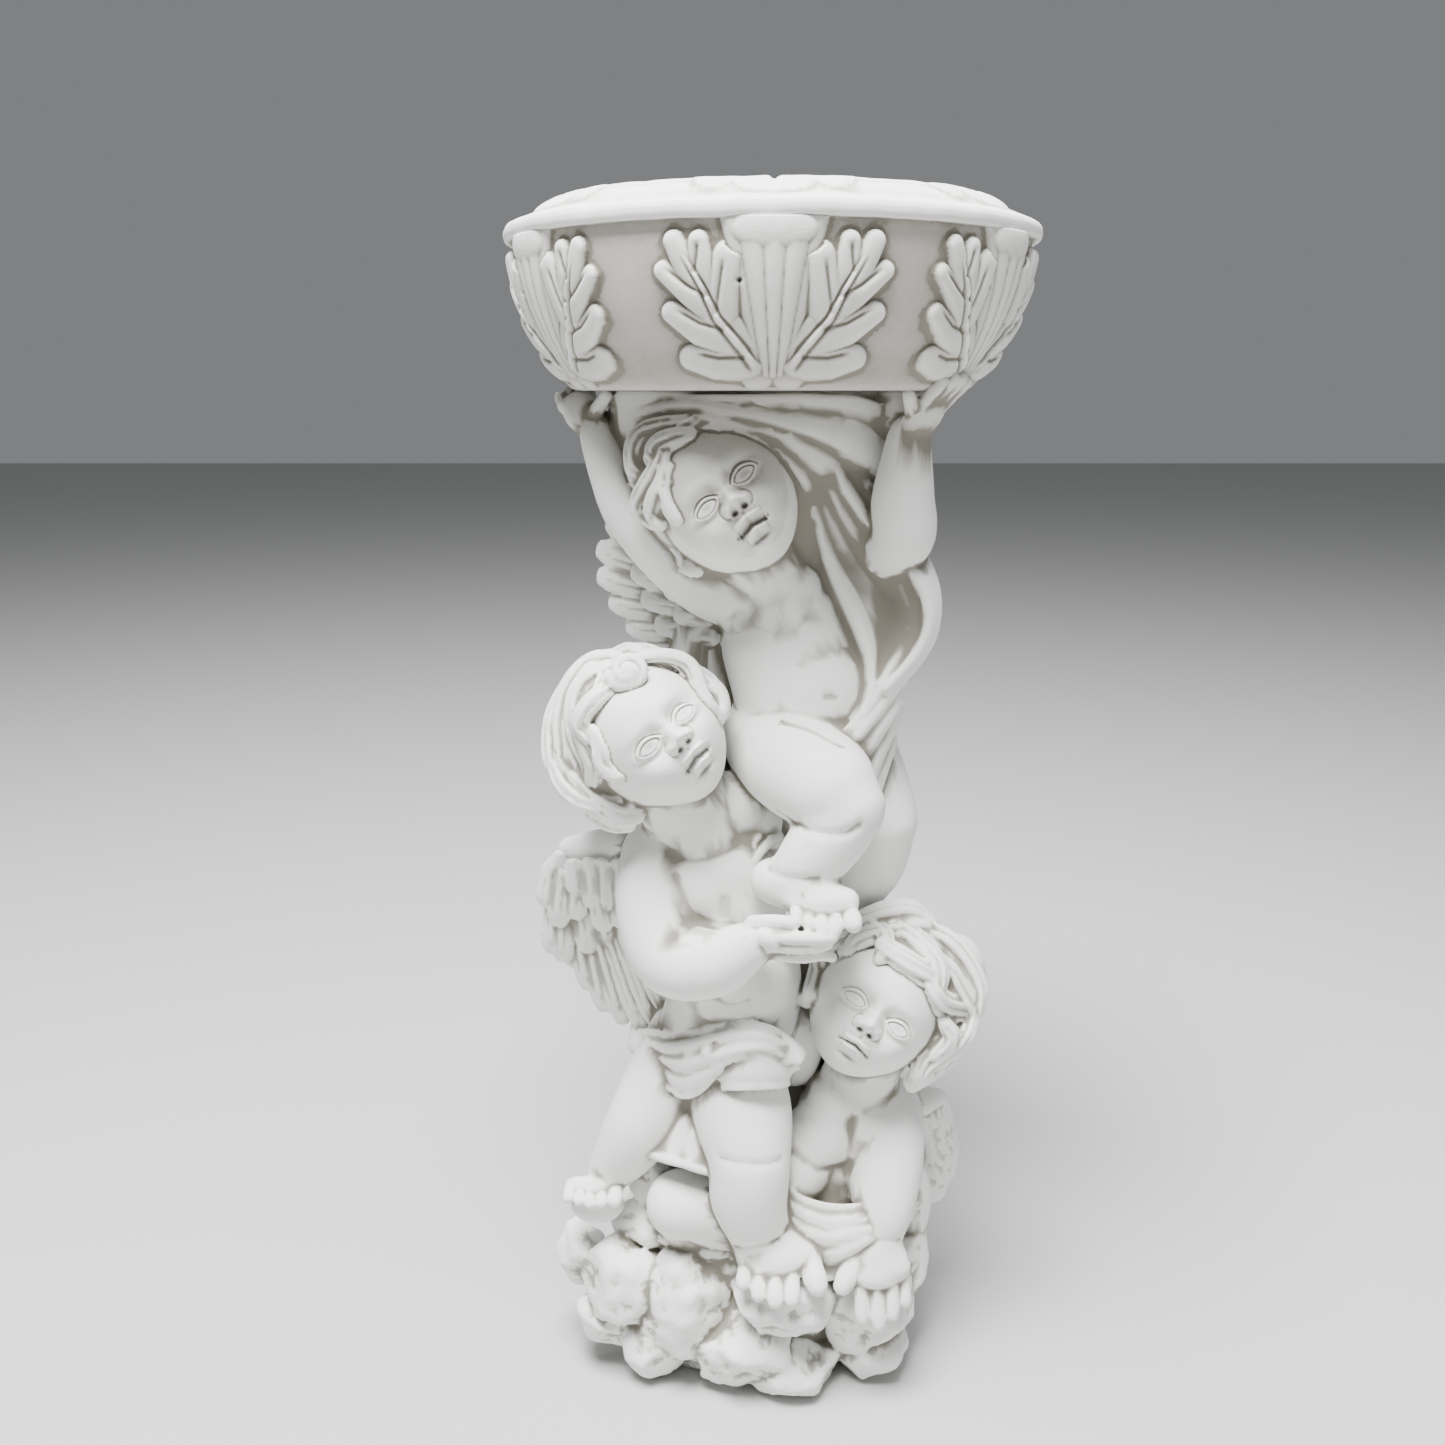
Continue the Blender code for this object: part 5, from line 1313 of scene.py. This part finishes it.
bowl = carved_basin()
worked(bowl, "DECIMATE", ratio=BASIN_TRIANGLES / (2 * len(bowl.data.polygons)))
points = points_of(bowl.data)
height = points[:, 2] - SEAT
relief = np.hypot(points[:, 0], points[:, 1]) - wall_radius(height)
# Painted shade on the basin: the bare wall between the leaves and the whole wall under the lip are painted
# darker for the lip's shadow, and the low band by the seat is painted darker towards the bottom.
bare = np.clip(1 - relief / LEAF_RELIEF, 0, 1) * (height < LIP_UNDERSIDE - 0.001)
under = height < LIP_UNDERSIDE - 0.001
give_wash_and_shade(bowl, near=0.00045, painted_shade=0.46 * bare + 0.26 * under + 0.3 * np.clip(1 - height / 0.03, 0, 1),
          rounds=(2, 8, 40))
finish_piece(bowl, "basin", cast_stone("basin_stone", 0.0002))


# The floor, the light and the camera
# A pale plain floor, an overcast studio light from above and in front, and the photograph's view.
AIM = Vector((0, 0, 0.45))             # the middle of the birdbath


def soft_light(name, spot, size, power):
    light = bpy.data.lights.new(name, "AREA")
    light.size = size
    light.energy = power
    made = bpy.data.objects.new(name, light)
    made.location = spot
    made.rotation_euler = (AIM - Vector(spot)).to_track_quat("-Z", "Y").to_euler()
    bpy.context.scene.collection.objects.link(made)


bpy.ops.mesh.primitive_plane_add(size=30, location=(0, 0, 0))
floor = bpy.context.object
floor.name = "floor"
pale = bpy.data.materials.new("pale_floor")
pale.use_nodes = True
finish = pale.node_tree.nodes["Principled BSDF"].inputs
finish["Base Color"].default_value = (0.50, 0.50, 0.495, 1)
finish["Roughness"].default_value = 0.9
floor.data.materials.append(pale)

soft_light("key", (-0.42, -1.00, 3.20), 1.3, 390)
soft_light("fill", (1.9, -1.4, 1.5), 2.0, 8)
soft_light("top", (0, 0.1, 3.0), 2.2, 80)
sky = bpy.data.worlds.new("sky")
sky.use_nodes = True
glow = sky.node_tree.nodes["Background"].inputs
glow["Color"].default_value = (0.86, 0.88, 0.90, 1)
glow["Strength"].default_value = 0.25
bpy.context.scene.world = sky

EYE = (-0.036, -1.10, 0.80)            # the photograph's viewpoint, in metres
LOOKS_DOWN = 13.3                      # degrees below level

lens = bpy.data.cameras.new("camera")
lens.lens = 35.0
camera = bpy.data.objects.new("camera", lens)
camera.location = EYE
camera.rotation_euler = (math.radians(90 - LOOKS_DOWN), 0, 0)
bpy.context.scene.collection.objects.link(camera)
bpy.context.scene.camera = camera
